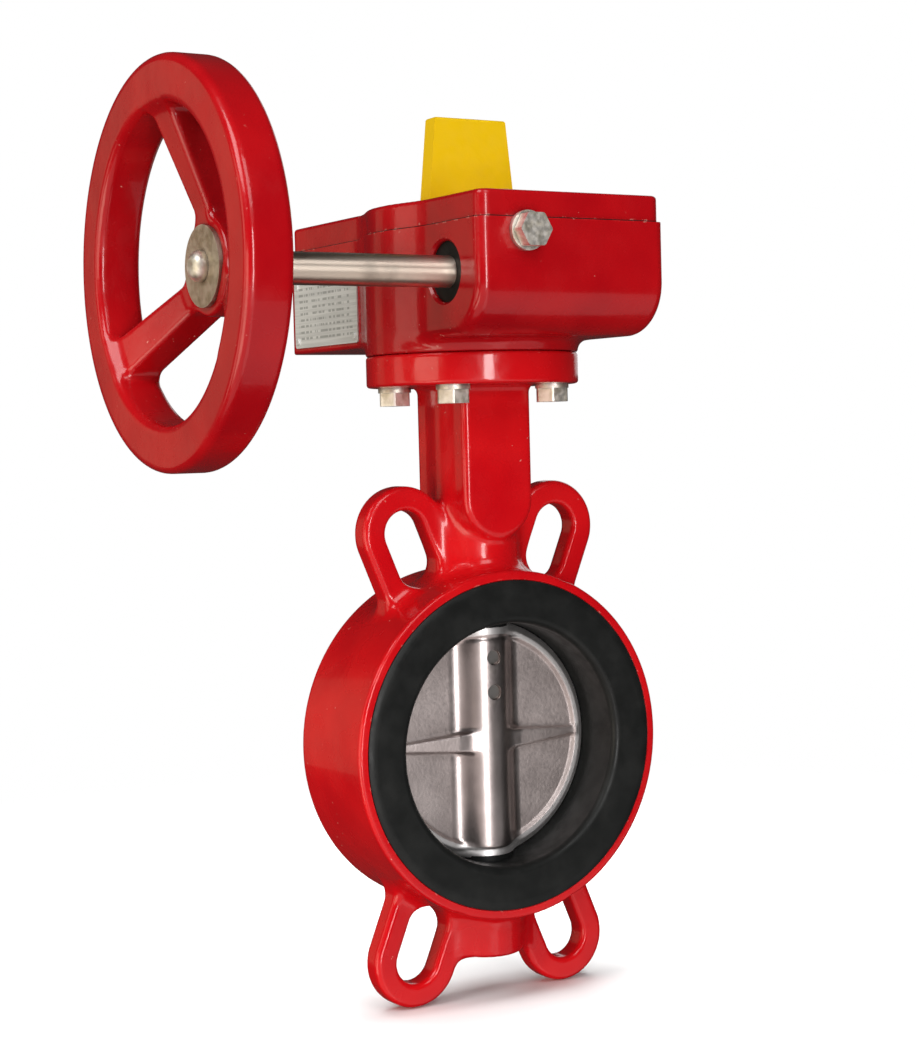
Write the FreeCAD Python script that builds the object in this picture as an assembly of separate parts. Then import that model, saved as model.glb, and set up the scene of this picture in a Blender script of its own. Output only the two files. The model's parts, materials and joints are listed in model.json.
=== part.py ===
import FreeCAD, Part
import math
import os

from FreeCAD import Vector

# Wafer butterfly valve with a worm-gear operator and position switches.
# Millimetres. Origin at the centre of the flow bore. +Z runs up the stem, Y is
# the pipe axis, and the handwheel shaft runs along X with the wheel at -X.
# The valve is drawn closed: the disc lies in the XZ plane.

# ---------------------------------------------------------------- dimensions

# Body ring and rubber seat
FACE_HALF = 26.0            # half of the face-to-face length of the casting
BODY_R = 74.5
BODY_BORE_R = 61.0
FACE_RING_R = 70.4          # rubber ring let into each face
FACE_RING_DEPTH = 4.0
SEAT_PROUD = 1.0            # rubber stands out of each face by this
RING_ROUND = 1.5
SEAT_R = 52.0
MOUTH_ROUND = 3.2           # round of the rubber where the flow enters
CROWN_WIDTH = 3.6           # the outer edge of each rubber face falls away over this width
CROWN_DROP = 0.9
SEAT_PAD_R = 11.8
SEAT_PAD_Z = 49.6
SEAT_PAD_SINK = 2.0         # how far a pad runs into the sleeve

# Neck, top flange, lower boss and bolt ears
NECK_R = 18.0
PANEL_HALF_WIDTH = 17.0
PANEL_FACE_Y = 20.4
PANEL_END_Z = 105.0
PANEL_ROUND = 2.5
FLANGE_R = 45.8
FLANGE_Z0 = 153.6
FLANGE_Z1 = 167.0
FLANGE_ROUND = 1.2
BOSS_R = 16.0
BOSS_BOTTOM_Z = -93.0
BOSS_ROUND = 2.0
EAR_ANGLE = 22.5
EAR_END_R = 99.0            # radius of the centre of the ear's outer round
EAR_ROOT_R = 66.0
EAR_HALF_WIDTH = 20.0
EAR_HALF_THICK = 5.5
EAR_ROUND = 2.6
SLOT_START_R = 84.0
SLOT_HALF_WIDTH = 9.2

# Stem, bushes and seals
STEM_R = 8.0
STEM_BOTTOM_Z = -84.0
STEM_SHOULDER_Z = 168.0
STEM_TOP_Z = 204.0
STEM_SQUARE = 11.0
STEM_SQUARE_R = 7.5         # the corners of the square are turned to this
STEM_CHAMFER = 1.0
STEM_BORE_R = 11.0
STEM_BORE_BOTTOM_Z = -88.0
RUN_FIT = 0.05              # radial clearance of running fits
SEAT_FIT = 0.05             # radial clearance of parts that do not turn
SCREW_ROOM = 0.4            # radial clearance of a screw in a through hole
WASHER_ROOM = 0.2           # radial clearance of a washer on its screw
LOWER_BUSH_Z = (-87.0, -65.0)
MIDDLE_BUSH_Z = (64.0, 84.0)
UPPER_BUSH_Z = (100.0, 149.0)
O_RING_Z = (86.5, 90.5, 94.5)
O_RING_MINOR_R = 1.4
WIPER_Z = (150.0, 153.5)
TOP_RECESS_R = 14.0
TOP_RECESS_Z = 155.0
CLIP_Z = (157.5, 158.7)
CLIP_GROOVE_R = 7.0
CLIP_R = 11.0
CLIP_FIT = 0.05             # end float of the clip in its groove
CLIP_GAP_HALF = 2.5

# Disc
DISC_R = 51.7
DISC_HALF_THICK = 3.2
RIM_HALF_THICK = 4.6
RIM_INNER_R = 44.8
RIM_STEP_R = 46.4
RIM_FLAT_R = 48.6
EDGE_HALF_THICK = 1.8
HUB_R = 12.2
HUB_FILLET_R = 8.0
HUB_END_Z = 49.3
HUB_TRIM_R = 49.4           # the hub stops short of the rim at this radius
HUB_PAD_ROOM = 0.2
RIB_SINK = 3.0              # how far a rib runs into the hub
RIB_HUB = (9.0, 4.2)        # half height and half width at the hub
RIB_RIM = (4.5, 1.3)        # the same at the rim
PIN_Z = (36.4, 21.4)
PIN_R = (3.1, 2.7)          # front and back radius of a taper pin
PIN_HALF_LENGTH = 10.8      # the ends lie sunk in the hub
PIN_RECESS = 0.3            # the recess is wider than the pin by this, all round

# Worm gear
WORM_Y = -45.0
WORM_Z = 198.6
WHEEL_TEETH = 30
WHEEL_PITCH_R = 35.0
MODULE = 2 * WHEEL_PITCH_R / WHEEL_TEETH
PITCH = math.pi * MODULE
WORM_PITCH_R = -WORM_Y - WHEEL_PITCH_R
WORM_TIP_R = 12.0
WORM_ROOT_R = 7.5
WORM_HALF_LENGTH = 13.0
THREAD_SINK = 0.4           # how far the thread runs into the core
WORM_SIDE = 270.0           # direction from the stem to the worm, degrees from +X
PRESSURE_ANGLE = 20.0
GEAR_SLACK = 0.5            # thinning of the thread, and widening of each gap
WHEEL_TIP_R = 37.0
WHEEL_ROOT_R = 32.4
WHEEL_HALF_FACE = 9.0
SECTOR_FROM = 148.0         # the toothed quadrant, degrees from +X
SECTOR_TO = 302.0
DRIVE_HUB_R = 16.0
DRIVE_HUB_Z = (168.5, 216.6)
LUG_X = 24.0
LUG_Y = (14.0, 24.0)
LUG_Z = (207.6, 216.6)

# Input shaft and its bearings
SHAFT_R = 6.5
SHAFT_END_X = 41.0
SHAFT_END_SUNK = 0.5        # the outer end lies this far inside the handwheel's hub
COLLAR_R = 9.5
COLLAR_X = (21.0, 24.6)
BUSH_X = (25.0, 36.5)
LEFT_BUSH_X = (-32.5, -25.0)
LEFT_BUSH_R = 10.0
PORT_R = 12.5               # seal recess on the left, loading bore on the right
SEAL_X = (-37.8, -33.2)
PORT_STEP_X = -33.0
PLUG_X = (41.6, 50.2)
PLUG_HEX = 10.0
PLUG_HEX_FROM_X = 46.0

# Gear housing and cover
CASE_LEFT_X = -40.0
CASE_RIGHT_X = 51.0
CASE_FRONT_Y = -73.0
CASE_NOSE_R = 22.0
CASE_NOSE_Z = 172.4          # underside of the worm housing
CASE_ROUND = 5.0
CASE_R = FLANGE_R
CASE_BASE_Z = 167.0
CASE_BASE_ROUND = 0.8
SEAM_Z = 218.4
GASKET_T = 0.5
COVER_TOP_Z = 229.4
COVER_INSET = 1.2
COVER_WALL = 6.5
COVER_ROOF = 5.9
COVER_ROUND = 1.4
GEAR_CAVITY_R = 40.0
GEAR_FLOOR_Z = 180.0
WORM_CAVITY_R = 14.5
WORM_CAVITY_X = 24.8
REAR_HALF_X = 37.0
REAR_FROM_Y = 20.0
REAR_END_Y = 100.0
REAR_BASE_Z = 171.6
WALL = 5.0
SCREW_BOSS_R = 5.5
COVER_SEAT_R = 6.5
COVER_SCREWS = (
    (-31.5, -65.5), (40.5, -65.5),
    (31.0, 31.0), (-31.0, 31.0),
    (30.0, 93.0), (-30.0, 93.0),
)
M5_R = 2.5
M5_HEAD_R = 4.25
M5_HEAD_H = 5.0
M5_HEAD_SUNK = 0.3
M5_HEX = 4.0
M5_LENGTH = 12.0            # below the seam
M5_HOLE_DEPTH = 14.0
HUB_RING_Z = (171.0, 173.6)
HUB_RING_DEPTH = 2.2
HUB_RING_SLACK = 0.25

# Stops
STOP_Z = 213.0
STOP_OFFSET = 18.0
STOP_GAP = 0.35
STOP_R = 4.0
STOP_BORE_X = 25.0
STOP_BOSS_X = 47.5
STOP_BOSS_ROOT_X = 33.8
STOP_BOSS_HALF = 8.0
STOP_BOSS_DROP = 9.0        # from the stop screw's axis to the underside of its boss
M8_HEX = 13.0
M8_HEAD_H = 5.8
HEX_DOME = 1.12             # turned radius of a hex head's corners, in half flats
M8_WASHER_R = 8.0
M8_WASHER_T = 2.0

# Flange bolts
FLANGE_PCD = 70.0
BOLT_TOP_Z = 177.0
SPRING_WASHER_T = 2.0
SPRING_WASHER_R = 7.2
SPRING_WASHER_SPLIT = 0.6   # half the gap

# Position indicator and its spindle
SPINDLE_R = 7.0
SPINDLE_FLANGE_R = 14.0
SPINDLE_FLANGE_Z = (216.7, 219.4)
SPINDLE_TOP_Z = 241.0
SPINDLE_FLAT_Y = 3.4
SPINDLE_SCREW_X = 10.5
M3_R = 1.5
M3_FIT = 0.05
M3_ROOM = 0.2
M3_HOLE_DEPTH = 8.0
M3_DEPTH = 7.0
M3_SUNK = 1.2
FLAG_TOP_Z = 268.0
FLAG_BASE_Z = 230.0
FLAG_TOP_HALF = 17.6
FLAG_BASE_HALF = 21.6
FLAG_HALF_THICK = 4.0
FLAG_ROUND = 1.2
FLAG_SOCKET_ROOM = 0.3
COLLAR_TOP_Z = 234.0
FLAG_COLLAR_R = 15.0
FLAG_COLLAR_ROUND = 1.0
FLAG_SCREW_Z = 232.0
FLAG_SCREW_Y = (3.45, 6.2)

# Position switches
CAM_Z = (219.5, 222.4)
CAM_R = 24.0
CAM_LOBE_R = 30.0
CAM_LOBE_HALF = 15.0
SWITCH_X = 12.0
SWITCH_HALF_WIDTH = 5.2
SWITCH_Y = (33.0, 53.0)
SWITCH_Z = (207.0, 223.0)
SWITCH_ROUND = 0.8
SWITCH_ROD_Y = (37.5, 48.5)
SWITCH_ROD_Z = 211.0
SWITCH_ROD_R = 1.55
SWITCH_ROD_HALF = 19.5
PLUNGER_R = 1.2
PLUNGER_TIP_Y = 28.8
PLUNGER_END_Y = 37.0
PLUNGER_TRAVEL = 1.5
PLUNGER_REST = 0.5          # room behind the plunger when it is pressed home
PLUNGER_ROUND = 0.5
PLUNGER_Z = 221.0
BRACKET_T = 1.5
BRACKET_X = (-24.0, 24.0)
BRACKET_Y = (36.0, 62.0)
BRACKET_FOOT_Y = 70.0
CHEEK_X = (17.6, 19.0)
CHEEK_END_Y = 52.0
CHEEK_TOP_Z = 216.0
BRACKET_SCREW_AT = (18.0, 66.0)
BRACKET_SCREW_R = 1.9
BRACKET_HEAD_R = 3.5
BRACKET_HEAD_H = 2.4
TERMINAL_X = 21.0
TERMINAL_Y = (72.0, 86.0)
TERMINAL_Z = (178.0, 192.0)
TERMINAL_WAYS = 6
TERMINAL_SCREW_Y = (75.5, 82.5)
TERMINAL_WELL_R = 2.1
TERMINAL_WELL_DEPTH = 5.0
TERMINAL_SCREW_R = 1.9
TERMINAL_SCREW_DEPTH = (4.8, 1.0)       # foot and head below the block's top
TERMINAL_SLOT_DEPTH = 1.8
TERMINAL_SLOT_HALF = 0.3

# Cable gland in the rear wall
GLAND_Z = 194.0
GLAND_THREAD_R = 10.0
GLAND_HEX = 24.0
GLAND_BORE_R = 6.5
CABLE_R = 4.5
GLAND_NUT_R = 12.5
GLAND_INSIDE = 3.0          # thread showing inside the wall
GLAND_HEX_END = 6.0         # these are stations out from the rear wall
GLAND_BODY_END = 14.0
GLAND_SEAL_START = 3.0
GLAND_NUT_Y = (6.3, 18.0)
GLAND_NUT_STEP = 14.3
GLAND_NUT_HEX = 23.4

# Label
LABEL_Y = (33.0, 93.0)
LABEL_Z = (174.2, 205.0)
LABEL_T = 0.8
LABEL_ROUND = 1.5
RIVET_R = 1.6
RIVET_H = 0.7
RIVET_ROUND = 0.5
RIVET_INSET = 3.0

# Handwheel
WHEEL_OUT_R = 77.9
WHEEL_IN_R = 60.0
RIM_X = (-164.4, -145.6)
RIM_ROUND = 3.2
SPOKE_ANGLES = (87.0, 207.0, 327.0)     # from +Y towards +Z
SPOKE_HALF_WIDTHS = (6.2, 8.8)          # at the hub and at the rim
SPOKE_RADII = (10.0, 64.0)
SPOKE_HUB_X = (-141.3, -125.5)
SPOKE_RIM_X = (-162.2, -147.1)
SPOKE_DRAFT = 1.2
SPOKE_ROUND = 1.6
WHEEL_HUB_R = 19.0
WHEEL_HUB_X = (-144.5, -119.0)
WHEEL_HUB_ROUND = 1.5
WHEEL_WASHER_R = 15.6
WHEEL_WASHER_T = 1.8
KEY_SIZE = 4.0
KEY_X = (-143.0, -122.0)
DOME_HEAD_R = 6.0
DOME_HEAD_H = 5.0
DOME_ROUND = 4.0
M6_R = 3.0
M6_LENGTH = 18.0
M6_ROOM = 0.3

AXES = {"X": Vector(1, 0, 0), "Y": Vector(0, 1, 0), "Z": Vector(0, 0, 1)}
ORIGIN = Vector(0, 0, 0)
SAFE = 5.0                  # how far a cutting tool runs past what it cuts
nodes = {}


# ------------------------------------------------------------------- helpers

def point(axis, along, at):
    """A point at `along` on an axis, with the other two coordinates in X, Y, Z order."""
    first, second = at
    return {
        "X": Vector(along, first, second),
        "Y": Vector(first, along, second),
        "Z": Vector(first, second, along),
    }[axis]


def cylinder(radius, start, end, axis="Z", at=(0, 0)):
    return Part.makeCylinder(radius, end - start, point(axis, start, at), AXES[axis])


def cone(start_r, end_r, start, end, axis="Z", at=(0, 0)):
    return Part.makeCone(start_r, end_r, end - start, point(axis, start, at), AXES[axis])


def tube(outer_r, inner_r, start, end, axis="Z", at=(0, 0)):
    bore = cylinder(inner_r, start - SAFE, end + SAFE, axis, at)
    return cylinder(outer_r, start, end, axis, at).cut(bore)


def box(x, y, z):
    """A block from three (low, high) pairs."""
    return Part.makeBox(x[1] - x[0], y[1] - y[0], z[1] - z[0], Vector(x[0], y[0], z[0]))


def polygon(points):
    return Part.makePolygon(points + points[:1])


def prism(points, direction):
    return Part.Face(polygon(points)).extrude(direction)


def hexagon(across_flats, start, end, axis="Z", at=(0, 0)):
    corner_r = across_flats / math.sqrt(3)
    corners = []
    for step in range(6):
        angle = math.radians(60 * step)
        offset = (at[0] + corner_r * math.cos(angle), at[1] + corner_r * math.sin(angle))
        corners.append(point(axis, start, offset))
    return prism(corners, AXES[axis] * (end - start))


def join(shapes):
    return shapes[0].multiFuse(shapes[1:]).removeSplitter()


def round_edges(shape, radius, wanted):
    """Round the edges whose two ends and middle all satisfy `wanted`."""
    chosen = []
    for edge in shape.Edges:
        middle = edge.valueAt((edge.FirstParameter + edge.LastParameter) / 2)
        spots = [vertex.Point for vertex in edge.Vertexes] + [middle]
        if all(wanted(spot) for spot in spots):
            chosen.append(edge)
    return shape.makeFillet(radius, chosen)


def near(value, target):
    return abs(value - target) < 1e-4


def mirror_y(shape):
    return shape.mirror(ORIGIN, AXES["Y"])


def add(name, *solids):
    """Keep a node: one solid, or a group of separate ones."""
    nodes[name] = Part.makeCompound(list(solids))


def slice_of_disc(radius, z, start, end):
    """A wedge of a disc between two angles in degrees from +X."""
    wedge = Part.makeCylinder(radius, z[1] - z[0], Vector(0, 0, z[0]), AXES["Z"], end - start)
    wedge.rotate(ORIGIN, AXES["Z"], start)
    return wedge


def quarter_circle_points(pcd):
    reach = pcd / 2 * math.cos(math.radians(45))
    return [(reach, reach), (-reach, reach), (-reach, -reach), (reach, -reach)]


def hex_bolt(head_from, head_to, tip, axis, at, shank_r=STOP_R, hex_size=M8_HEX):
    """A hex-head screw: the head between two stations, the shank on to the tip."""
    low, high = sorted((head_from, head_to))
    head = hexagon(hex_size, low, high, axis, at)
    head = head.common(cylinder(hex_size / 2 * HEX_DOME, low, high, axis, at))
    start, end = sorted((head_to, tip))
    return join([head, cylinder(shank_r, start, end, axis, at)])


def socket_screw(x, y, head_z, tip_z):
    head = cylinder(M5_HEAD_R, head_z, head_z + M5_HEAD_H, "Z", (x, y))
    socket = hexagon(M5_HEX, head_z + M5_HEAD_H / 2, head_z + M5_HEAD_H + SAFE, "Z", (x, y))
    shank = cylinder(M5_R - SEAT_FIT, tip_z, head_z, "Z", (x, y))
    return join([head, shank]).cut(socket)


# ---------------------------------------------------------------- valve body

def ear(angle):
    """One slotted bolt ear, drawn along +Z and turned about the pipe axis."""
    y = (-EAR_HALF_THICK, EAR_HALF_THICK)
    past = (y[0] - SAFE, y[1] + SAFE)
    strap = box((-EAR_HALF_WIDTH, EAR_HALF_WIDTH), y, (EAR_ROOT_R, EAR_END_R))
    end = cylinder(EAR_HALF_WIDTH, y[0], y[1], "Y", (0, EAR_END_R))
    slot = box((-SLOT_HALF_WIDTH, SLOT_HALF_WIDTH), past, (SLOT_START_R, EAR_END_R))
    solid = join([strap, end]).cut(slot)
    for radius in (SLOT_START_R, EAR_END_R):
        solid = solid.cut(cylinder(SLOT_HALF_WIDTH, past[0], past[1], "Y", (0, radius)))
    solid = solid.removeSplitter()
    solid = round_edges(solid, EAR_ROUND, lambda p: near(abs(p.y), EAR_HALF_THICK) and p.z > EAR_ROOT_R + 1)
    solid.rotate(ORIGIN, AXES["Y"], angle)
    return solid


def neck_panel():
    """The flat marking panels of the neck, front and back in one block."""
    y = (-PANEL_FACE_Y, PANEL_FACE_Y)
    block = box((-PANEL_HALF_WIDTH, PANEL_HALF_WIDTH), y, (PANEL_END_Z, FLANGE_Z0 + SAFE))
    end = cylinder(PANEL_HALF_WIDTH, y[0], y[1], "Y", (0, PANEL_END_Z))
    panel = join([block, end])
    return round_edges(panel, PANEL_ROUND, lambda p: near(abs(p.y), PANEL_FACE_Y) and p.z < FLANGE_Z0 + 1)


def valve_body():
    ring = cylinder(BODY_R, -FACE_HALF, FACE_HALF, "Y")
    ring = round_edges(ring, RING_ROUND, lambda p: near(abs(p.y), FACE_HALF))
    neck = cylinder(NECK_R, EAR_ROOT_R, FLANGE_Z0 + SAFE)
    flange = cylinder(FLANGE_R, FLANGE_Z0, FLANGE_Z1)
    flange = round_edges(flange, FLANGE_ROUND, lambda p: near(p.z, FLANGE_Z0))
    boss = cylinder(BOSS_R, BOSS_BOTTOM_Z, -EAR_ROOT_R)
    boss = round_edges(boss, BOSS_ROUND, lambda p: near(p.z, BOSS_BOTTOM_Z))
    ears = [ear(side + turn) for side in (0, 180) for turn in (-EAR_ANGLE, EAR_ANGLE)]
    body = join([ring, neck, neck_panel(), flange, boss] + ears)
    body = body.cut(cylinder(BODY_BORE_R, -FACE_HALF - SAFE, FACE_HALF + SAFE, "Y"))
    for side in (-1, 1):
        inner = side * (FACE_HALF - FACE_RING_DEPTH)
        start, end = sorted((inner, side * (FACE_HALF + SAFE)))
        body = body.cut(cylinder(FACE_RING_R, start, end, "Y"))
    body = body.cut(cylinder(STEM_BORE_R, STEM_BORE_BOTTOM_Z, TOP_RECESS_Z + SAFE))
    body = body.cut(cylinder(TOP_RECESS_R, TOP_RECESS_Z, FLANGE_Z1 + SAFE))
    for at in quarter_circle_points(FLANGE_PCD):
        body = body.cut(cylinder(STOP_R + SCREW_ROOM, FLANGE_Z0 - SAFE, FLANGE_Z1 + SAFE, "Z", at))
    add("valve_body", body)


def seat_half_outline():
    """The rubber from the bore round to the sleeve on the +Y side, as edges in XY."""
    face = FACE_HALF + SEAT_PROUD
    shelf = FACE_HALF - FACE_RING_DEPTH
    ring_r = FACE_RING_R - SEAT_FIT
    lip = MOUTH_ROUND * (1 - math.sqrt(0.5))
    crown_r = (CROWN_WIDTH ** 2 + CROWN_DROP ** 2) / (2 * CROWN_DROP)
    half_turn = math.asin(CROWN_WIDTH / crown_r) / 2
    mouth_start = Vector(SEAT_R, face - MOUTH_ROUND, 0)
    mouth_mid = Vector(SEAT_R + lip, face - lip, 0)
    mouth_end = Vector(SEAT_R + MOUTH_ROUND, face, 0)
    crown_start = Vector(ring_r - CROWN_WIDTH, face, 0)
    crown_mid = crown_start + Vector(crown_r * math.sin(half_turn), crown_r * (math.cos(half_turn) - 1), 0)
    crown_end = Vector(ring_r, face - CROWN_DROP, 0)
    ring_back = Vector(ring_r, shelf, 0)
    sleeve = Vector(BODY_BORE_R - SEAT_FIT, shelf, 0)
    return [
        Part.makeLine(Vector(SEAT_R, 0, 0), mouth_start),
        Part.Arc(mouth_start, mouth_mid, mouth_end).toShape(),
        Part.makeLine(mouth_end, crown_start),
        Part.Arc(crown_start, crown_mid, crown_end).toShape(),
        Part.makeLine(crown_end, ring_back),
        Part.makeLine(ring_back, sleeve),
        Part.makeLine(sleeve, Vector(sleeve.x, 0, 0)),
    ]


def seat_liner():
    """Rubber seat: a bonded sleeve with a crowned sealing ring on each face."""
    outline = seat_half_outline()
    middle = Part.makeLine(Vector(BODY_BORE_R - SEAT_FIT, 0, 0), Vector(SEAT_R, 0, 0))
    half = Part.Face(Part.Wire(outline + [middle])).revolve(ORIGIN, AXES["Y"], 360)
    pads = [
        cylinder(SEAT_PAD_R, SEAT_PAD_Z, SEAT_R + SEAT_PAD_SINK),
        cylinder(SEAT_PAD_R, -SEAT_R - SEAT_PAD_SINK, -SEAT_PAD_Z),
    ]
    liner = join([half, mirror_y(half)] + pads)
    liner = liner.cut(cylinder(STEM_R + RUN_FIT, -BODY_R, BODY_R))
    add("seat_liner", liner)


def stem_bearings():
    outer = STEM_BORE_R - SEAT_FIT
    inner = STEM_R + RUN_FIT
    bushes = (("lower_bush", LOWER_BUSH_Z), ("middle_bush", MIDDLE_BUSH_Z), ("upper_bush", UPPER_BUSH_Z))
    for name, z in bushes:
        add(name, tube(outer, inner, z[0], z[1]))
    ring_r = inner + O_RING_MINOR_R
    rings = [Part.makeTorus(ring_r, O_RING_MINOR_R, Vector(0, 0, z), AXES["Z"]) for z in O_RING_Z]
    add("stem_o_rings", *rings)
    add("stem_wiper", tube(outer, inner, WIPER_Z[0], WIPER_Z[1]))


# ------------------------------------------------------------- disc and stem

def hub_section():
    """Hub cross-section in XY: a round hub with hollow fillets down to the plate."""
    fillet_y = DISC_HALF_THICK + HUB_FILLET_R
    fillet_x = math.sqrt((HUB_R + HUB_FILLET_R) ** 2 - fillet_y ** 2)
    on_hub = HUB_R / (HUB_R + HUB_FILLET_R)
    slope = math.atan2(fillet_y, fillet_x)
    turn = (slope + math.pi / 2) / 2
    edges = []
    for sx, sy in ((1, 1), (-1, -1)):
        foot = Vector(sx * fillet_x, sy * DISC_HALF_THICK, 0)
        top = Vector(sx * fillet_x * on_hub, sy * fillet_y * on_hub, 0)
        far_foot = Vector(-sx * fillet_x, sy * DISC_HALF_THICK, 0)
        far_top = Vector(-sx * fillet_x * on_hub, sy * fillet_y * on_hub, 0)
        reach = HUB_FILLET_R * math.cos(turn)
        drop = HUB_FILLET_R * math.sin(turn)
        bend = Vector(sx * (fillet_x - reach), sy * (fillet_y - drop), 0)
        far_bend = Vector(-sx * (fillet_x - reach), sy * (fillet_y - drop), 0)
        edges.append(Part.Arc(foot, bend, top).toShape())
        edges.append(Part.Arc(top, Vector(0, sy * HUB_R, 0), far_top).toShape())
        edges.append(Part.Arc(far_top, far_bend, far_foot).toShape())
        edges.append(Part.makeLine(far_foot, Vector(-sx * fillet_x, -sy * DISC_HALF_THICK, 0)))
    return Part.Wire(edges)


def rib():
    """The level web across both halves of the disc, one side of the hub."""
    stations = ((HUB_R - RIB_SINK, RIB_HUB), (RIM_STEP_R, RIB_RIM))
    wires = []
    for x, (half_y, half_z) in stations:
        corners = [(-half_y, -half_z), (half_y, -half_z), (half_y, half_z), (-half_y, half_z)]
        wires.append(polygon([Vector(x, y, z) for y, z in corners]))
    return Part.makeLoft(wires, True, True)


def disc_plate():
    """Thin plate with a thicker machined rim, turned about the pipe axis."""
    upper = [
        Vector(0, DISC_HALF_THICK, 0),
        Vector(RIM_INNER_R, DISC_HALF_THICK, 0),
        Vector(RIM_STEP_R, RIM_HALF_THICK, 0),
        Vector(RIM_FLAT_R, RIM_HALF_THICK, 0),
        Vector(math.sqrt(DISC_R ** 2 - EDGE_HALF_THICK ** 2), EDGE_HALF_THICK, 0),
    ]
    lower = [Vector(p.x, -p.y, 0) for p in reversed(upper)]
    edges = [Part.makeLine(a, b) for a, b in zip(upper, upper[1:])]
    edges.append(Part.Arc(upper[-1], Vector(DISC_R, 0, 0), lower[0]).toShape())
    edges += [Part.makeLine(a, b) for a, b in zip(lower, lower[1:])]
    edges.append(Part.makeLine(lower[-1], upper[0]))
    return Part.Face(Part.Wire(edges)).revolve(ORIGIN, AXES["Y"], 360)


def pin_cone(z, slack):
    return cone(PIN_R[0] + slack, PIN_R[1] + slack, -PIN_HALF_LENGTH, PIN_HALF_LENGTH, "Y", (0, z))


def disc():
    hub = Part.Face(hub_section()).extrude(Vector(0, 0, 2 * HUB_END_Z))
    hub.translate(Vector(0, 0, -HUB_END_Z))
    hub = hub.common(cylinder(HUB_TRIM_R, -BODY_R, BODY_R, "Y"))
    right = rib()
    left = right.mirror(ORIGIN, AXES["X"])
    shape = join([disc_plate(), hub, right, left])
    shape = shape.common(Part.makeSphere(DISC_R))
    for start, end in ((HUB_END_Z, BODY_R), (-BODY_R, -HUB_END_Z)):
        shape = shape.cut(cylinder(HUB_R + HUB_PAD_ROOM, start, end))
    shape = shape.cut(cylinder(STEM_R + SEAT_FIT, -BODY_R, BODY_R))
    for z in PIN_Z:
        shape = shape.cut(cylinder(PIN_R[0] + PIN_RECESS, -HUB_R - SAFE, -PIN_HALF_LENGTH, "Y", (0, z)))
        shape = shape.cut(cylinder(PIN_R[1] + PIN_RECESS, PIN_HALF_LENGTH, HUB_R + SAFE, "Y", (0, z)))
        shape = shape.cut(pin_cone(z, SEAT_FIT))
    add("disc", shape)


def stem():
    shaft = cylinder(STEM_R, STEM_BOTTOM_Z, STEM_SHOULDER_Z)
    foot = [edge for edge in shaft.Edges if near(edge.BoundBox.ZMax, STEM_BOTTOM_Z)]
    shaft = shaft.makeChamfer(STEM_CHAMFER, foot)
    half = STEM_SQUARE / 2
    square = box((-half, half), (-half, half), (STEM_SHOULDER_Z - 1, STEM_TOP_Z))
    shaft = join([shaft, square.common(cylinder(STEM_SQUARE_R, STEM_BOTTOM_Z, STEM_TOP_Z))])
    shaft = shaft.cut(tube(STEM_R + 1, CLIP_GROOVE_R, CLIP_Z[0] - CLIP_FIT, CLIP_Z[1] + CLIP_FIT))
    for z in PIN_Z:
        shaft = shaft.cut(pin_cone(z, SEAT_FIT))
    add("stem", shaft)
    add("taper_pins", *[pin_cone(z, 0) for z in PIN_Z])
    gap = box((-CLIP_GAP_HALF, CLIP_GAP_HALF), (0, CLIP_R + 1), (CLIP_Z[0] - 1, CLIP_Z[1] + 1))
    add("stem_clip", tube(CLIP_R, CLIP_GROOVE_R + SEAT_FIT, CLIP_Z[0], CLIP_Z[1]).cut(gap))


# ------------------------------------------------------------------ worm gear

def worm_thread():
    """Single-start right-hand thread; at the side facing the wheel it is centred on X = 0."""
    turns = 2 * WORM_HALF_LENGTH / PITCH
    helix = Part.makeHelix(PITCH, turns * PITCH, WORM_PITCH_R)
    slope = math.tan(math.radians(PRESSURE_ANGLE))
    half_pitch_width = PITCH / 4 - GEAR_SLACK / 2
    root = WORM_ROOT_R - THREAD_SINK
    half_tip = half_pitch_width - (WORM_TIP_R - WORM_PITCH_R) * slope
    half_root = half_pitch_width + (WORM_PITCH_R - root) * slope
    profile = polygon([
        Vector(root, 0, -half_root),
        Vector(WORM_TIP_R, 0, -half_tip),
        Vector(WORM_TIP_R, 0, half_tip),
        Vector(root, 0, half_root),
    ])
    thread = Part.Wire(helix.Edges).makePipeShell([profile], True, True)
    thread.translate(Vector(0, 0, -WORM_HALF_LENGTH))
    # The helix starts at +X of its own frame; half the turns later it passes Z = 0.
    facing = math.degrees(math.pi * turns) % 360
    thread.rotate(ORIGIN, AXES["Z"], -facing)
    # Helix axis Z becomes X, and its +X side becomes the +Y side of the worm.
    thread.rotate(ORIGIN, Vector(1, 1, 1), 120)
    thread.translate(Vector(0, WORM_Y, WORM_Z))
    return thread


def worm_shaft():
    at = (WORM_Y, WORM_Z)
    wheel_end = WHEEL_HUB_X[0] + SHAFT_END_SUNK
    core = [
        cylinder(SHAFT_R, wheel_end, SHAFT_END_X, "X", at),
        cylinder(WORM_ROOT_R, -COLLAR_X[0], COLLAR_X[0], "X", at),
        cylinder(COLLAR_R, -COLLAR_X[1], -COLLAR_X[0], "X", at),
        cylinder(COLLAR_R, COLLAR_X[0], COLLAR_X[1], "X", at),
    ]
    shaft = join(core + [worm_thread()])
    shaft = shaft.cut(cylinder(M6_R, wheel_end - SAFE, wheel_end + M6_LENGTH, "X", at))
    shaft = shaft.cut(key_block(SEAT_FIT))
    add("worm_shaft", shaft)


def key_block(slack):
    half = KEY_SIZE / 2 + slack
    z_mid = WORM_Z + SHAFT_R
    return box(
        (KEY_X[0] - slack, KEY_X[1] + slack),
        (WORM_Y - half, WORM_Y + half),
        (z_mid - half, z_mid + half),
    )


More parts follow.
